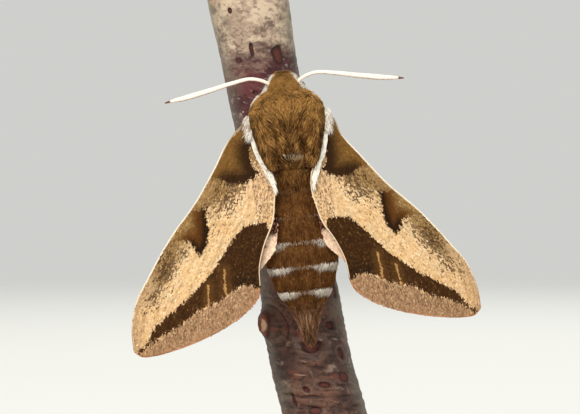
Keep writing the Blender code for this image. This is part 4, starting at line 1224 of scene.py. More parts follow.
def addFringes():
    # white hairs over each segment's end, thick at the sides, thin and greyish on the back
    setting = longTufts["fringe"]
    rows = bodyRows()
    roots, whites, longs = [], [], []
    for end, amount, start in bodyMarks["fringes"]:
        count = int(setting["number"] * (0.25 + 0.75 * amount))
        turn = rng.uniform(0, 165, count)
        full = smoothStep(start - 26, start + 18, turn) * (1 - 0.5 * smoothStep(100, 125, turn))
        keep = rng.random(count) < 0.45 + 0.55 * full
        turn, full = turn[keep], full[keep]
        turn = np.radians(turn) * rng.choice((-1, 1), len(turn))
        z0 = end + rng.normal(0.26, 0.12, len(turn)) + 0.08 * full
        wide, deep, centre = through(rows[:, 0], rows[:, 1:], z0).T
        roots.append(triples((wide + 0.12) * np.sin(turn), centre - (deep + 0.12) * np.cos(turn), z0))
        whites.append((0.3 + 0.7 * full) * (0.35 + 0.65 * amount))
        longs.append((0.35 + 0.65 * full) * (0.6 + 0.4 * amount))
    roots, whites, longs = np.concatenate(roots), np.concatenate(whites), np.concatenate(longs)
    number = len(roots)
    lean = -np.tanh(roots[:, 0] * 0.8) * 0.55 + rng.normal(0, 0.3, number)
    longs *= rng.uniform(*setting["long"], number) * rng.choice((0.5, 0.8, 1.1, 1.4), number)
    paths, ups = layTufts(roots, triples(lean, 0, -1), longs, rng.uniform(0.16, 0.32, number), 4)
    marks = triples(np.clip(whites * rng.uniform(0.45, 1.15, number), 0, 1), 0, 0)
    tone = triples(0, 0, rng.uniform(0.2, 0.9, number))
    wides = setting["wide"] * rng.uniform(0.7, 1.2, number)
    tuftPiece("coat_abdomen_fringes", "white_scales", paths, ups, wides, marks, tone, roots,
              unwrapSpots(roots, -28, -8))


addWingBaseTufts()
addShoulderLines()
addFringes()
addBodyTufts("tail", (-28.7, -26.0), 181, -0.3)
addBodyTufts("waist", (-6.2, -4.7), 84, 0.1)
print("coat done")

# Eyes, feelers and tongue


def treeWith(name, sizes):
    # an empty Geometry Nodes tree with one named input for each size
    tree = bpy.data.node_groups.new(name, "GeometryNodeTree")
    tree.interface.new_socket("Geometry", in_out="OUTPUT", socket_type="NodeSocketGeometry")
    tree.interface.new_socket("Geometry", in_out="INPUT", socket_type="NodeSocketGeometry")
    for label, value in sizes.items():
        kind = "NodeSocketInt" if isinstance(value, int) else "NodeSocketFloat"
        tree.interface.new_socket(label, in_out="INPUT", socket_type=kind)
    return tree, tree.nodes.new("NodeGroupInput"), tree.nodes.new("NodeGroupOutput")


def finishTree(tree, out, points, instance, towards, size, material):
    # the instance on every point, turned towards a direction and dressed
    turned = addNode(tree, "FunctionNodeAlignRotationToVector", {"Vector": towards}, 0, axis="Z")
    placed = addNode(tree, "GeometryNodeInstanceOnPoints",
                     {"Points": points, "Instance": instance, "Rotation": turned, "Scale": size}, 0)
    real = addNode(tree, "GeometryNodeRealizeInstances", {0: placed}, 0)
    dressed = addNode(tree, "GeometryNodeSetMaterial", {"Geometry": real, "Material": material}, 0)
    tree.links.new(dressed, out.inputs[0])


def seedObject(name, points, edges, mark, values):
    # loose points in mm, or a path of them, for a tree to grow on
    mesh = bpy.data.meshes.new(name)
    mesh.from_pydata((mothToWorld(points) * mm).tolist(), edges, [])
    obj = linked(name, mesh)
    setMarks(obj, **{mark: values})
    return obj


def grown(source, tree, sizes, name, material):
    # the tree's result as a plain mesh piece
    live = source.modifiers.new("grow", "NODES")
    live.node_group = tree
    for item in tree.interface.items_tree:
        if item.item_type == "SOCKET" and item.in_out == "INPUT" and item.name in sizes:
            live[item.identifier] = sizes[item.name]
    graph = bpy.context.evaluated_depsgraph_get()
    mesh = bpy.data.meshes.new_from_object(source.evaluated_get(graph))
    mesh.name = name
    bpy.data.objects.remove(source)
    mesh.materials.clear()
    mesh.materials.append(material)
    mesh.polygons.foreach_set("use_smooth", np.ones(len(mesh.polygons), bool))
    return linked(name, mesh)


def eyeMaterial():
    # Compound eye: glossy chitin in tiny domes, dark olive brown with a pale false pupil.
    # Real facets are 0.02 mm wide; they are drawn 0.08 mm wide so that they show.
    material, tree = newMaterial("compound eye", Roughness=0.16, IOR=1.56, Coat_Weight=0.5,
                                 Coat_Roughness=0.08)
    place = addNode(tree, "ShaderNodeTexCoord", (), "Object")
    cloud = addNode(tree, "ShaderNodeTexNoise", {"Vector": place, "Scale": 900.0, "Detail": 2.0}, 0)
    cell = addNode(tree, "ShaderNodeTexVoronoi", {"Vector": place, "Scale": 9000.0}, "Distance")
    colour = layered(tree, "#2A1B10",
                     (cloud, 0.42, 0.62, 0.7, "#4A331C"),
                     (cell, 0.5, 0.8, 0.5, "#0F0906"))
    return finishMaterial(material, colour, 1.0, cell, 0.00001, 0.2)


def makeEyes(material):
    sizes = {"Facet width": eye["facetWide"] * mm, "Facet height": eye["facetHigh"] * mm, "Rings": 3}
    k = np.arange(eye["facets"]) + 0.5
    polar, turn = np.arccos(1 - 2 * k / eye["facets"]), math.pi * (1 + 5**0.5) * k
    evenly = triples(np.cos(turn) * np.sin(polar), np.sin(turn) * np.sin(polar), np.cos(polar))
    ends = np.linspace(0.06, math.pi - 0.06, 24)
    for side, word in sides:
        centre = np.array(eye["centre"]) * (side, 1, 1)
        spread = evenly[evenly[:, 0] * side > -0.35]     # the rest is inside the head
        aim = mothToWorld(centre + spread) - mothToWorld(centre)
        source = seedObject("facetPlaces", centre + spread * eye["radius"] * 0.985, [], "outward", aim)
        tree, given, out = treeWith("eyeFacetTree", sizes)
        dome = addNode(tree, "GeometryNodeMeshUVSphere",
                       {"Segments": 6, "Rings": given.outputs["Rings"], "Radius": 1.0}, 0)
        aimed = addNode(tree, "GeometryNodeInputNamedAttribute", {0: "outward"}, 0, data_type="FLOAT_VECTOR")
        half = addNode(tree, "ShaderNodeMath", (given.outputs["Facet width"], 0.56), 0, operation="MULTIPLY")
        size = addNode(tree, "ShaderNodeCombineXYZ", (half, half, given.outputs["Facet height"]), 0)
        finishTree(tree, out, given.outputs["Geometry"], dome, aimed, size, material)
        settle(grown(source, tree, sizes, f"eye_{word}_facets", material), "compound_eye")
        line = centre + triples(np.cos(ends), 0, 0) * eye["radius"] * side
        points, sets = tube(line, np.sin(ends) * eye["radius"], 36, (0, 0, 1))
        settle(meshObject(f"eye_{word}", mothToWorld(points), sets, material), "compound_eye", f"eye_{word}")
    print("eyes done")


feeler = {
    "line": [(1.75, -.55, 5.6), (2.15, -.85, 6.0), (4.2, -1.5, 6.8), (6.95, -1.9, 6.5), (9.5, -2, 5.95),
             (11.8, -1.9, 5.5), (13.8, -1.7, 5.15), (15.5, -1.4, 4.95), (16.2, -1.2, 4.85)],
    "radii": (.24, .25, .27, .3, .33, .37, .4, .33, .1),
    "joints": 62, "jointFlare": 0.93,
}


def feelerMaterial():
    # Feelers: chalky white scales above, bare rose-brown skin below, a red-brown hooked tip.
    material, tree = newMaterial("feeler scales", Roughness=0.6, Specular_IOR_Level=0.25)
    shareAlong, turn = readMarks(tree, "feelerPlace")[:2]
    place = addNode(tree, "ShaderNodeTexCoord", (), "Object")
    grain = addNode(tree, "ShaderNodeTexNoise", {"Vector": place, "Scale": 5200.0, "Detail": 3.0}, 0)
    under = addNode(tree, "ShaderNodeMath", (grain, 1.2, turn), 0, operation="MULTIPLY_ADD")
    colour = layered(tree, "#F9EFE0",
                     (grain, 0.5, 0.75, 0.35, "#E6CDB2"),
                     (under, 0.75, 1.15, 1.0, "#B8796A"),
                     (under, 1.35, 1.6, 1.0, "#7A4A32"),
                     (shareAlong, 0.955, 0.975, 1.0, "#6E3A22"))
    return finishMaterial(material, colour, 1.0, grain, 0.00005, 0.6)


def makeFeelers(material):
    shares = np.linspace(0, 1, 90)
    radii = np.interp(shares, np.linspace(0, 1, len(feeler["radii"])), feeler["radii"])
    for side, word in sides:
        line = lineThrough(feeler["line"], shares) * (side, 1, 1)
        edges = [(k, k + 1) for k in range(len(line) - 1)]
        source = seedObject("feelerPath", line, edges, "thick", radii * mm)
        length = np.linalg.norm(np.diff(line, axis=0), axis=1).sum()
        sizes = {"Joints": feeler["joints"], "Joint length": length / feeler["joints"] * 1.12 * mm,
                 "Flare": feeler["jointFlare"]}
        tree, given, out = treeWith("feelerTree", sizes)
        curve = addNode(tree, "GeometryNodeMeshToCurve", {0: given.outputs["Geometry"]}, 0)
        spaced = addNode(tree, "GeometryNodeResampleCurve",
                         {"Curve": curve, "Count": given.outputs["Joints"]}, 0)
        joint = addNode(tree, "GeometryNodeMeshCone",
                        {"Vertices": 14, "Side Segments": 3, "Fill Segments": 1, "Radius Top": 1.0,
                         "Radius Bottom": given.outputs["Flare"], "Depth": 1.0}, "Mesh")
        tangent = addNode(tree, "GeometryNodeInputTangent", (), 0)
        thick = addNode(tree, "GeometryNodeInputNamedAttribute", {0: "thick"}, 0, data_type="FLOAT")
        size = addNode(tree, "ShaderNodeCombineXYZ", (thick, thick, given.outputs["Joint length"]), 0)
        finishTree(tree, out, spaced, joint, tangent, size, material)
        obj = grown(source, tree, sizes, f"antenna_{word}", material)
        places = np.empty(len(obj.data.vertices) * 3, np.float32)
        obj.data.vertices.foreach_get("co", places)
        own = worldToMoth(places.reshape(-1, 3).astype(float) / mm)
        near = np.argmin(np.linalg.norm(own[:, None] - line[None], axis=2), axis=1)
        outward = unit(own - line[near])
        # below and towards the branch the feeler is bare
        under = 0.5 * outward[:, 1] - 0.75 * outward[:, 2]
        setMarks(obj, feelerPlace=triples(shares[near], under, radii[near]))
        settle(obj, "white_scales", f"antenna_{word}")
    print("feelers done")


def chitinMaterial(name, low, high, roughness=0.35):
    # Bare chitin: horn-like, glossy, darker where it is thick.
    material, tree = newMaterial(name, Roughness=roughness, IOR=1.56, Coat_Weight=0.2)
    place = addNode(tree, "ShaderNodeTexCoord", (), "Object")
    cloud = addNode(tree, "ShaderNodeTexNoise", {"Vector": place, "Scale": 1500.0, "Detail": 3.0}, 0)
    colour = layered(tree, low, (cloud, 0.4, 0.65, 1.0, high))
    return finishMaterial(material, colour, 1.0, cloud, 0.00003, 0.5)


tongue = {"centre": (4.75, 5.35), "reach": (1.35, 0.35), "turns": 1.7, "startDeg": 75,
          "radii": (0.24, 0.2, 0.17), "ridges": 90}


def makeTongue(material):
    shares = np.linspace(0, 1, 200)
    angle = math.radians(tongue["startDeg"]) + shares * 2 * math.pi * tongue["turns"]
    reach = tongue["reach"][0] + (tongue["reach"][1] - tongue["reach"][0]) * shares
    y, z = tongue["centre"]
    line = triples(0, y - reach * np.sin(angle), z + reach * np.cos(angle))
    radii = np.interp(shares, [0, .5, 1], tongue["radii"])
    radii = radii * (1 + 0.06 * np.cos(shares * 2 * math.pi * tongue["ridges"] / 3))
    points, sets = tube(line, radii, 14, (1, 0, 0))
    settle(meshObject("proboscis", mothToWorld(points), sets, material), "horn", "proboscis")


makeEyes(eyeMaterial())
makeFeelers(feelerMaterial())
makeTongue(chitinMaterial("tongue horn", "#5A3218", "#8A5A30"))

# Perch: a cut length of cherry branch, and its legs round it

branch = {
    "line": [(13.5, 3.45, 6.1), (24.9, 0.5, 5.95), (33.5, -0.95, 5.65), (46.4, -2.95, 5.5),
             (56.4, -4.75, 5.45),
             (65.0, -6.5, 5.4), (75.1, -8.1, 5.85), (78.0, -8.6, 5.9)],
    "middleY": 5.9,
    # height, degrees from the front, rise, half height, half angle
    "knots": [(28.6, -57, 1.5, 2.1, 22), (64.0, 118, 0.5, 1.8, 20), (44.0, 165, 0.6, 2.0, 22)],
    # leaf scars: height, degrees from the front, half height, half width, depth and rim
    "scars": [(73.2, -31, 0.5, 0.5, 0.3, 0.3), (67.7, -7, 1.05, 0.42, 0.25, 0.4),
              (67.1, 35, 1.45, 1.15, 0.3, 0.4),
              (66.2, -31, 0.45, 0.65, 0.1, 1.0), (61.5, -14, 0.4, 0.45, 0.15, 0.3),
              (25.7, 6, 1.05, 1.45, 0.35, 0.8),
              (28.6, 40, 0.55, 0.8, 0.3, 0.5), (24.6, 48, 0.8, 0.55, 0.3, 0.9),
              (18.2, -40, 1.0, 0.42, 0.3, 0.7),
              (21.4, 43, 0.8, 0.95, 0.1, 0.4), (19.6, -16, 0.45, 0.5, 0.2, 0.5),
              (20.3, 10, 0.4, 0.95, 0.2, 0.6),
              (16.7, -12, 0.7, 1.05, 0.1, 0.4), (33.4, 62, 1.2, 0.7, 0.2, 0.5),
              (52.0, 150, 1.0, 0.8, 0.25, 0.6),
              (38.5, -130, 0.8, 0.9, 0.2, 0.6), (70.0, 160, 1.2, 0.9, 0.3, 0.5),
              (30.0, 175, 0.9, 1.1, 0.3, 0.7),
              (58.0, -140, 0.7, 0.8, 0.2, 0.5), (22.0, -140, 0.9, 0.7, 0.2, 0.6),
              (45.0, 100, 0.8, 0.6, 0.2, 0.5)],
    "lenticels": 70, "hollow": 0.45, "around": 200, "rows": 420, "edge": 0.35, "meanReach": 5.6,
}


def degreesFrom(angle, turn):
    return (np.degrees(angle) - turn + 180) % 360 - 180


def roundBark(angle, turn):
    # mm round the bark from a direction in degrees
    return degreesFrom(angle, turn) / 57.3 * branch["meanReach"]


def knotField(angle, z):
    rise, core = np.zeros_like(angle), np.zeros_like(angle)
    for height, turn, up, halfHeight, halfAngle in branch["knots"]:
        off = degreesFrom(angle, turn)
        far = (off / halfAngle) ** 2 + ((z - height) / halfHeight) ** 2
        rise += up * (np.exp(-far**1.4) - branch["hollow"] * np.exp(-(5 * far) ** 2))
        # the cut face leans and is taller than wide
        face = (1.25 * off / halfAngle) ** 2 + ((z - height - 0.03 * off) / halfHeight / 1.2) ** 2
        core = np.maximum(core, min(up, 1) * np.exp(-1.3 * face))
    return rise, core


def barkReach(angle, z):
    reach = section(branch["line"], z.ravel())[:, 1].reshape(z.shape)
    reach = reach + 0.07 * np.sin(5 * angle + 0.21 * z) + 0.05 * np.sin(3 * angle - 0.35 * z + 1.3)
    return reach + knotField(angle, z)[0]


def onBranch(angleDeg, z, clear):
    # place outside the bark in the moth's frame
    height = np.array([mothPlace["origin"][2] + z * math.cos(math.radians(mothPlace["leanDeg"]))])
    middle = section(branch["line"], height)[0, 0]
    a = math.radians(angleDeg)
    reach = barkReach(np.array([a]), height)[0] + clear
    return worldToMoth([middle + reach * math.sin(a), branch["middleY"] - reach * math.cos(a), height[0]])


legs = {
    # root, knee, degrees round the branch of the foot, heel and toe along the body
    "front_right": ((1.5, 4.35, 2.4), (3.9, 5.6, 2.5), 46, .9, 3.2),
    "front_left": ((-1.5, 4.35, 2.4), (-4.2, 5.5, 2.5), -26, .7, 3.0),
    "middle_right": ((2, 4.35, -.8), (4.9, 5.7, -2.2), 52, -4.6, -7.2),
    "middle_left": ((-2, 4.35, -.8), (-6, 5.8, -2.2), -50, -4.6, -7.2),
    "rear_right": ((1.7, 4.3, -4), (5.2, 6.3, -7.8), 56, -12.2, -15.4),
    "rear_left": ((-1.7, 4.3, -4), (-6.4, 6.3, -7.8), -56, -12.2, -15.4),
}
legSize = {"thigh": (0.32, 0.5, 0.42, 0.26), "shin": (0.26, 0.38, 0.34, 0.24), "foot": 0.2, "joints": 5,
           "spur": 0.9, "tufts": 420}


def legMaterial():
    # Legs: chitin closely covered in scales, brown above and white below, feet ringed with white.
    material, tree = newMaterial("leg scales", Roughness=0.62, Specular_IOR_Level=0.2)
    white, joint = readMarks(tree, "legPlace")[1:3]
    place = addNode(tree, "ShaderNodeTexCoord", (), "Object")
    grain = addNode(tree, "ShaderNodeTexNoise", {"Vector": place, "Scale": 3200.0, "Detail": 3.0}, 0)
    broken = addNode(tree, "ShaderNodeMath", (grain, 1.0, white), 0, operation="MULTIPLY_ADD")
    colour = layered(tree, "#7A5A38",
                     (grain, 0.42, 0.62, 0.8, "#5A3E22"),
                     (broken, 0.8, 1.1, 1.0, "#E6D9C4"),
                     (joint, 0.4, 0.8, 1.0, "#E9DFCC"))
    return finishMaterial(material, colour, 1.0, grain, 0.00006, 0.6)


def makeLegs(material, claw):
    for name, (root, knee, angle, heelZ, toeZ) in legs.items():
        root, knee = np.array(root, float), np.array(knee, float)
        heel = onBranch(angle, heelZ, 0.3 + 0.45 + 0.27)
        toe = onBranch(angle * 0.94, toeZ, 0.24)
        steps = np.linspace(0, 1, 22)
        bend = (root + knee) / 2 + np.array([0, 0.1, 0.3])
        thigh = lineThrough([root - (0, 0.4, 0), root, bend, knee], steps)
        middle = (knee + heel) / 2 + np.array([0, -0.15, 0])
        shin = lineThrough([knee, middle, heel], steps)
        thighR, shinR = (lineThrough([(r, 0, 0) for r in legSize[part]], steps)[:, 0]
                         for part in ("thigh", "shin"))
        parts = [(*tube(thigh, thighR, 14), 0.0), (*tube(shin, shinR, 14), 0.0)]
        arch = (heel + toe) / 2 - np.array([0, 0.12, 0])
        foot = lineThrough([heel, arch, toe], np.linspace(0, 1, 61))
        swell = np.abs(np.sin(np.linspace(0, 1, 61) * math.pi * legSize["joints"]))
        footR = legSize["foot"] * (0.72 + 0.32 * swell) * np.linspace(1.15, 0.85, 61)
        parts.append((*tube(foot, footR, 12), np.repeat(1 - swell, 12).tolist() + [0, 0]))
        # spurs stand out at the end of the shin, and half way down it on the rear legs
        down = unit(heel - knee)
        for at in ([0.98] if "rear" not in name else [0.62, 0.98]):
            base = knee + (heel - knee) * at
            for turn in (-1, 1):
                outward = unit(np.cross(down, (0, 1, 0)) * turn + np.array([0, 0.3, 0]))
                line = lineThrough([base, base + (outward * 0.45 + down * 0.35) * legSize["spur"],
                                    base + (outward * 0.55 + down) * legSize["spur"]], np.linspace(0, 1, 8))
                parts.append((*tube(line, np.linspace(0.1, 0.025, 8), 8), 1.0))
        points, sets, joints = joined(parts)
        leg = meshObject(f"leg_{name}", mothToWorld(points), sets, material)
        spine = np.concatenate([thigh, shin, foot])
        near = np.argmin(np.linalg.norm(points[:, None] - spine[None], axis=2), axis=1)
        away = unit(points - spine[near])
        white = smoothStep(-0.2, 0.6, away[:, 1])
        share = near / len(spine)
        setMarks(leg, legPlace=triples(share, white, joints))
        settle(leg, "leg_scales", *[f"leg_{name}_{part}" for part in ("thigh", "tibia", "foot")])
        hooks = []
        forward = unit(toe - foot[-8])
        for turn in (-1, 1):
            aside = unit(np.cross(forward, (0, 1, 0))) * turn
            tip = toe + forward * 0.42 + aside * 0.2 + np.array([0, 0.2, 0])
            line = lineThrough([toe, toe + forward * 0.3 + aside * 0.16, tip], np.linspace(0, 1, 8))
            hooks.append((*tube(line, np.linspace(0.07, 0.02, 8), 8), 0.0))
        points, sets = joined(hooks)[:2]
        settle(meshObject(f"claws_{name}", mothToWorld(points), sets, claw), "horn")
        addLegTufts(name, thigh, thighR, shin, shinR)
    print("legs done")


def addLegTufts(name, thigh, thighR, shin, shinR):
    number = legSize["tufts"]
    paths, ups, whites, shares = [], [], [], []
    for line, radii, amount in ((thigh, thighR, 0.55), (shin, shinR, 0.45)):
        run = unit(np.gradient(line, axis=0))
        for _ in range(int(number * amount)):
            k = rng.uniform(1.5, len(line) - 4)
            i = int(k)
            spot = line[i] + (line[i + 1] - line[i]) * (k - i)
            turn = rng.uniform(0, 2 * math.pi)
            one = unit(np.cross(run[i], (0.31, 0.2, 0.93)))
            two = np.cross(run[i], one)
            out = one * math.cos(turn) + two * math.sin(turn)
            long = rng.uniform(0.45, 0.8)
            steps = np.linspace(0, 1, 4)
            rise = radii[i] - 0.02 + rng.uniform(0.06, 0.16) * steps
            paths.append(spot + run[i] * (long * steps)[:, None] + out * rise[:, None])
            ups.append(out)
            whites.append(smoothStep(-0.2, 0.6, out[1]))
            shares.append((turn / 2 / math.pi, k / len(line) * 0.5 + (0.5 if line is shin else 0)))
    paths = np.array(paths)
    marks, tone = triples(np.array(whites) * 0.9, 0.25, 0), triples(0.15, 0, rng.uniform(0.3, 0.8, len(ups)))
    wides, spots = rng.uniform(0.09, 0.15, len(ups)), 0.02 + 0.96 * np.array(shares)
    tuftPiece(f"coat_leg_{name}", "leg_scales", paths, np.array(ups), wides, marks, tone, paths[:, 0], spots)


makeLegs(legMaterial(), chitinMaterial("claw horn", "#3A2012", "#6E4526"))


def barkMaterial():
    # Cherry bark: thin, smooth and maroon, under a pale grey lichen film at the top, mauve
    # brown and wrinkled at the foot, with lying lenticels 3 mm wide and rusty leaf scars;
    # painted shade darkens the folds' grooves and a painted sheen greys both sides.
    material, tree = newMaterial("cherry bark", Roughness=0.6, Specular_IOR_Level=0.35)
    scar, rim, core = readMarks(tree, "barkScars")[:3]
    lenticel, fold, turn = readMarks(tree, "barkFolds")[:3]
    place = addNode(tree, "ShaderNodeTexCoord", (), "Object")
    lying = addNode(tree, "ShaderNodeMapping", {0: place, "Scale": (1, 1, 1.4)}, 0)
    broad = addNode(tree, "ShaderNodeTexNoise", {"Vector": lying, "Scale": 130.0, "Detail": 4.0,
                                                 "Roughness": 0.6}, 0)
    film = addNode(tree, "ShaderNodeTexNoise", {"Vector": lying, "Scale": 400.0, "Detail": 6.0,
                                                "Roughness": 0.68, "Distortion": 0.3}, 0)
    flecks = addNode(tree, "ShaderNodeTexVoronoi", {"Vector": lying, "Scale": 620.0}, "Distance")
    rust = addNode(tree, "ShaderNodeTexNoise", {"Vector": place, "Scale": 260.0, "Detail": 4.0}, 0)
    fine = addNode(tree, "ShaderNodeTexNoise", {"Vector": lying, "Scale": 1500.0, "Detail": 4.0}, 0)
    height = addNode(tree, "ShaderNodeSeparateXYZ", (place,), 2)
    # painted sheen: turn is 1 at both sides of the branch as the camera sees it, and there the bark is
    # greyed
    turned = addNode(tree, "ShaderNodeMath", (broad, 1.2, turn), 0, operation="MULTIPLY_ADD")
    ragged = addNode(tree, "ShaderNodeMath", (broad, 0.016, height), 0, operation="MULTIPLY_ADD")
    rimmed = addNode(tree, "ShaderNodeMath", (film, 1.2, rim), 0, operation="MULTIPLY_ADD")
    scarred = addNode(tree, "ShaderNodeMath", (fine, 0.4, scar), 0, operation="MULTIPLY_ADD")
    top = layered(tree, "#A08875",
                  (film, 0.42, 0.56, 0.9, "#CBB59A"),
                  (broad, 0.5, 0.6, 0.6, "#8A7161"),
                  (film, 0.45, 0.37, 0.8, "#5E4A40"),
                  (fine, 0.52, 0.66, 0.65, "#6B574B"),
                  (flecks, 0.2, 0.08, 0.75, "#5A3029"),
                  (rust, 0.6, 0.68, 0.5, "#A87F60"))
    middle = layered(tree, "#431A1B",
                     (broad, 0.42, 0.6, 1.0, "#5E2829"),
                     (fine, 0.5, 0.66, 0.7, "#281012"),
                     (film, 0.54, 0.64, 0.9, "#A08C86"),
                     (flecks, 0.16, 0.06, 0.7, "#C2B2AA"))
    low = layered(tree, "#4C3128",
                  (broad, 0.42, 0.6, 1.0, "#6C4939"),
                  (film, 0.57, 0.68, 0.8, "#9B8473"),
                  (film, 0.44, 0.34, 0.8, "#33201A"),
                  (fine, 0.5, 0.66, 0.7, "#2E1C17"),
                  (rust, 0.56, 0.64, 0.8, "#76361F"),
                  # painted shade: darker where fold is high, in the grooves that the folds sink into the
                  # bark
                  (fold, 0.25, 0.8, 0.7, "#2B1B17"))
    colour = layered(tree, low,
                     (ragged, 0.042, 0.054, 1.0, middle),
                     (ragged, 0.0725, 0.0765, 1.0, top),
                     # painted sheen at both sides of the branch
                     (turned, 1.15, 1.55, 0.5, "#6C685A"),
                     (lenticel, 0.35, 0.8, 0.75, "#A58E7B"),
                     (rimmed, 0.85, 1.35, 0.3, "#7C685C"),
                     (scar, 0.15, 0.4, 1.0, "#2E120D"),
                     (scarred, 0.75, 1.2, 0.85, "#5A2412"),
                     (core, 0.3, 0.5, 1.0, "#45190F"),
                     (core, 0.55, 0.68, 0.9, "#7A3B22"),
                     (core, 0.8, 0.9, 1.0, "#C6A27E"))
    relief = layered(tree, film, (fine, 0.0, 1.0, 0.35, fine), (fold, 0.0, 1.0, 0.5, "#000000"))
    return finishMaterial(material, colour, 1.0, relief, 0.0006, 0.7)


def endGrainMaterial():
    # Sawn cherry end grain: pale sapwood, fine rings about 0.6 mm apart and a dark pith.
    material, tree = newMaterial("cherry end grain", Roughness=0.7)
    fromPith = readMarks(tree, "barkScars")[0]
    place = addNode(tree, "ShaderNodeTexCoord", (), "Object")
    fine = addNode(tree, "ShaderNodeTexNoise", {"Vector": place, "Scale": 2600.0, "Detail": 3.0}, 0)
    wobble = addNode(tree, "ShaderNodeMath", (fromPith, 62.0, fine), 0, operation="MULTIPLY_ADD")
    rings = addNode(tree, "ShaderNodeMath", (wobble,), 0, operation="SINE")
    colour = layered(tree, "#C99C6C",
                     (fromPith, 0.75, 0.4, 1.0, "#A8683E"),
                     (rings, 0.2, 1.0, 0.5, "#7E4A2A"),
                     (fine, 0.5, 0.7, 0.4, "#8F5F3C"),
                     (fromPith, 0.1, 0.06, 1.0, "#4A2A1A"))
    return finishMaterial(material, colour, 1.0, rings, 0.00008, 0.5)


def scarField(angle, z):
    # how far inside a scar, how near its rim, and how deep it lies
    scar, rim, depth = np.zeros_like(z), np.zeros_like(z), np.zeros_like(z)
    wobble = 0.12 * np.sin(angle * 9 + z * 1.7) + 0.1 * np.sin(z * 2.9 - angle * 7)
    for height, turn, halfHigh, halfWide, deep, pale in branch["scars"]:
        off = roundBark(angle, turn)
        far = np.sqrt((off / halfWide) ** 2 + ((z - height) / halfHigh) ** 2) + wobble
        scar = np.maximum(scar, smoothStep(1.2, 0.3, far))
        rim = np.maximum(rim, pale * np.exp(-((far - 1.5) / 0.45) ** 2))
        depth += deep * smoothStep(1.1, 0.7, far) - 0.4 * deep * np.exp(-((far - 1.4) / 0.3) ** 2)
    return scar, rim, depth


def makeBranch(bark, endGrain):
    rows, around = branch["rows"], branch["around"]
    heights = np.linspace(branch["line"][0][0], branch["line"][-1][0], rows)
    turns = np.linspace(0, 2 * math.pi, around, endpoint=False)
    z, angle = np.meshgrid(heights, turns, indexing="ij")
    reach = barkReach(angle, z)
    core = knotField(angle, z)[1]
    scar, rim, hollow = scarField(angle, z)
    middle = section(branch["line"], heights)[:, 0][:, None]
    flat = triples(np.sin(angle) * 6, np.cos(angle) * 6, z)
    lumps = smoothNoise(flat * (1, 1, 0.6), 0.28, 2.0)
    grain = smoothNoise(flat * (1, 1, 1.8), 0.75, 7.0)
    reach = reach + 0.13 * lumps + 0.06 * grain - hollow
    # lying lenticels: short raised lips round the branch
    lenticel = np.zeros_like(z)
    for _ in range(branch["lenticels"]):
        height, turn = rng.uniform(14.5, 77), rng.uniform(0, 2 * math.pi)
        halfWide, halfHigh = rng.uniform(0.25, 1.3), rng.uniform(0.1, 0.24)
        slope = rng.normal(0, 0.12)
        off = (angle - turn + math.pi) % (2 * math.pi) - math.pi
        rise = z - height + slope * off * 5.7 + 0.1 * np.sin(off * 9)
        far = (off * 5.7 / halfWide) ** 2 + (rise / halfHigh) ** 2
        lenticel = np.maximum(lenticel, rng.uniform(0.45, 1) * np.exp(-(far ** 1.5)))
    # folds of bark that bend round the cut stub, and lie across the branch near its foot
    high, stub = branch["knots"][0][:2]
    off = roundBark(angle, stub)
    far = np.hypot(off / 1.1, z - high)
    aroundStub = np.sin(far * 6.5 + 2 * lumps) * smoothStep(1.6, 2.4, far) * smoothStep(6.5, 3.2, far)
    across = np.sin(z * 4.2 + 3.5 * lumps + 0.8 * np.sin(angle * 2))
    across = across * smoothStep(33, 26, z) * smoothStep(3.5, 6.5, far)
    ripple = smoothNoise(flat * (0.7, 0.7, 3.2), 0.62, 17.0) * smoothStep(36, 27, z)
    fold = np.clip(np.abs(aroundStub) * aroundStub + 0.3 * across + 1.3 * ripple, -1, 1)
    reach = reach + 0.07 * lenticel - 0.09 * fold
    lip = np.minimum(z - heights[0], heights[-1] - z)
    reach = reach - branch["edge"] * smoothStep(branch["edge"], 0, lip) ** 2
    points = triples(middle + reach * np.sin(angle), branch["middleY"] - reach * np.cos(angle), z)
    obj = meshObject("perch", points.reshape(-1, 3), [gridFaces(rows, around, True)], bark)
    # the folds' third value is how far round to the side the bark faces, for the painted sheen
    setMarks(obj, barkScars=triples(scar, rim, core).reshape(-1, 3),
             barkFolds=triples(lenticel, fold, np.abs(np.sin(angle))).reshape(-1, 3))
    settle(obj, "bark", "perch")
    for name, row, up in (("perch_cut_top", -1, 1), ("perch_cut_foot", 0, -1)):
        centre = np.array([middle[row, 0], branch["middleY"], heights[row]])
        shares = np.linspace(1, 0.04, 14)
        rings = centre + (points[row] - centre)[None] * shares[:, None, None]
        rings[..., 2] = heights[row] + up * 0.02 * (shares[:, None] < 0.99)
        disc = np.concatenate([rings.reshape(-1, 3), centre[None]])
        last = 13 * around
        j = np.arange(around)
        fan = np.stack([last + j, last + (j + 1) % around, np.full(around, 14 * around)], -1)
        quads = gridFaces(14, around, True)
        if up < 0:
            quads, fan = quads[:, ::-1], fan[:, ::-1]
        cut = meshObject(name, disc, [quads, fan], endGrain, False)
        far = np.append(np.repeat(shares, around), 0)
        setMarks(cut, barkScars=triples(far, 0, 0))
        settle(cut, "bark")
    print("branch done")


makeBranch(barkMaterial(), endGrainMaterial())

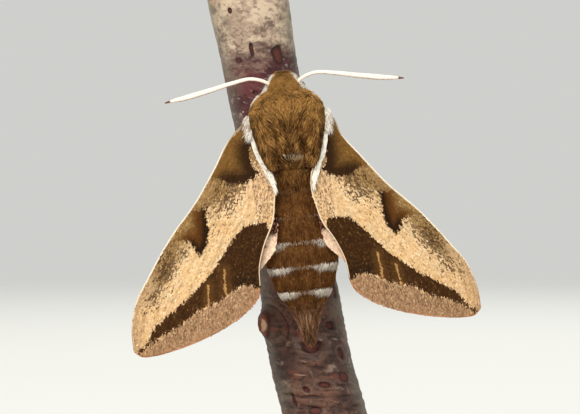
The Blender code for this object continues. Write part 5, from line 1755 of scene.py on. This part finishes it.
# Stand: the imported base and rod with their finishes


def lacquerMaterial():
    # Walnut turned on a lathe and lacquered: long brown grain under a clear gloss coat.
    material, tree = newMaterial("lacquered walnut", Roughness=0.45, Coat_Weight=0.7,
                                 Coat_Roughness=0.12)
    place = addNode(tree, "ShaderNodeTexCoord", (), "Object")
    long = addNode(tree, "ShaderNodeMapping", {0: place, "Scale": (1.0, 9.0, 9.0)}, 0)
    figure = addNode(tree, "ShaderNodeTexNoise", {"Vector": long, "Scale": 28.0, "Detail": 5.0,
                                                  "Distortion": 0.6}, 0)
    pores = addNode(tree, "ShaderNodeTexNoise", {"Vector": long, "Scale": 260.0, "Detail": 3.0}, 0)
    colour = layered(tree, "#4A2F1F",
                     (figure, 0.42, 0.6, 1.0, "#6B4630"),
                     (figure, 0.46, 0.36, 0.8, "#2E1B12"),
                     (pores, 0.6, 0.7, 0.6, "#22140D"))
    return finishMaterial(material, colour, 1.0, pores, 0.00008, 0.3)


def rodMaterial():
    # Stainless steel rod, drawn: fine lines along it.
    material, tree = newMaterial("drawn steel", Metallic=1.0, Roughness=0.3)
    place = addNode(tree, "ShaderNodeTexCoord", (), "Object")
    long = addNode(tree, "ShaderNodeMapping", {0: place, "Scale": (1.0, 1.0, 0.03)}, 0)
    lines = addNode(tree, "ShaderNodeTexNoise", {"Vector": long, "Scale": 6000.0, "Detail": 2.0}, 0)
    dull = addNode(tree, "ShaderNodeMapRange", (lines, 0.3, 0.7, 0.2, 0.42), 0)
    tree.links.new(dull, tree.nodes["Principled BSDF"].inputs["Roughness"])
    colour = layered(tree, "#B9B9BA", (lines, 0.4, 0.7, 0.4, "#A2A2A4"))
    return finishMaterial(material, colour, 1.0, lines, 0.00002, 0.4)


for node, material in (("stand_base", lacquerMaterial()), ("stand_rod", rodMaterial())):
    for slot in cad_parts[node].material_slots:
        slot.material = material
print("stand done")

# Floor, light and camera

studio = {"paper": "#E2E3DF", "floor": "#E8E8E4", "worldStrength": 0.82, "key": 8.5, "fill": 2.0, "top": 2.5,
          "camera": (-2.19, -308.7, 45.4), "lens": 135.9}


def makeStage():
    world = bpy.data.worlds.new("paleRoom")
    bpy.context.scene.world = world
    world.use_nodes = True
    back = world.node_tree.nodes["Background"]
    back.inputs[0].default_value = toLinear(studio["paper"])
    back.inputs[1].default_value = studio["worldStrength"]
    # matt paper that fades out towards its edge
    material, tree = newMaterial("paper floor", Roughness=0.9)
    surface = tree.nodes["Principled BSDF"]
    surface.inputs["Base Color"].default_value = toLinear(studio["floor"])
    place = addNode(tree, "ShaderNodeTexCoord", (), "Object")
    far = addNode(tree, "ShaderNodeVectorMath", (place,), "Value", operation="LENGTH")
    share = addNode(tree, "ShaderNodeMapRange", (far, 0.35, 1.3, 0.0, 1.0), 0,
                    interpolation_type="SMOOTHSTEP")
    clear = addNode(tree, "ShaderNodeBsdfTransparent", (), 0)
    mixed = addNode(tree, "ShaderNodeMixShader", (share, surface.outputs[0], clear), 0)
    tree.links.new(mixed, tree.nodes["Material Output"].inputs[0])
    turns = np.linspace(0, 2 * math.pi, 96, endpoint=False)
    ring = np.stack([np.sin(turns) * 1500, np.cos(turns) * 1500, 0 * turns - 0.05], -1)
    points = np.concatenate([[[0, 0, -0.05]], ring])
    j = np.arange(96)
    floor = meshObject("floor", points, [np.stack([0 * j, 1 + (j + 1) % 96, 1 + j], -1)], material)


def addLight(name, place, size, power, warmth):
    light = bpy.data.lights.new(name, "AREA")
    light.energy, light.size, light.color = power, size, warmth
    obj = linked(name, light)
    obj.location = place
    aim = Vector((-0.002, -0.005, 0.05)) - Vector(place)
    obj.rotation_euler = aim.to_track_quat("-Z", "Y").to_euler()
    obj.visible_camera = False


makeStage()
addLight("key", (-0.45, -0.75, 0.65), 0.45, studio["key"], (1.0, 0.97, 0.92))
addLight("fill", (0.7, -0.6, 0.25), 0.6, studio["fill"], (0.95, 0.98, 1.0))
addLight("back", (0.2, 0.7, 0.7), 0.6, studio["top"], (1.0, 1.0, 1.0))

camera = linked("camera", bpy.data.cameras.new("camera"))
camera.data.sensor_width = 36.0
camera.data.lens = studio["lens"]
camera.data.clip_start = 0.005
camera.data.clip_end = 20.0
camera.location = Vector(studio["camera"]) * mm
camera.rotation_euler = (math.pi / 2, 0, 0)
bpy.context.scene.camera = camera
bpy.context.scene.view_settings.view_transform = "Standard"
print("stage done")
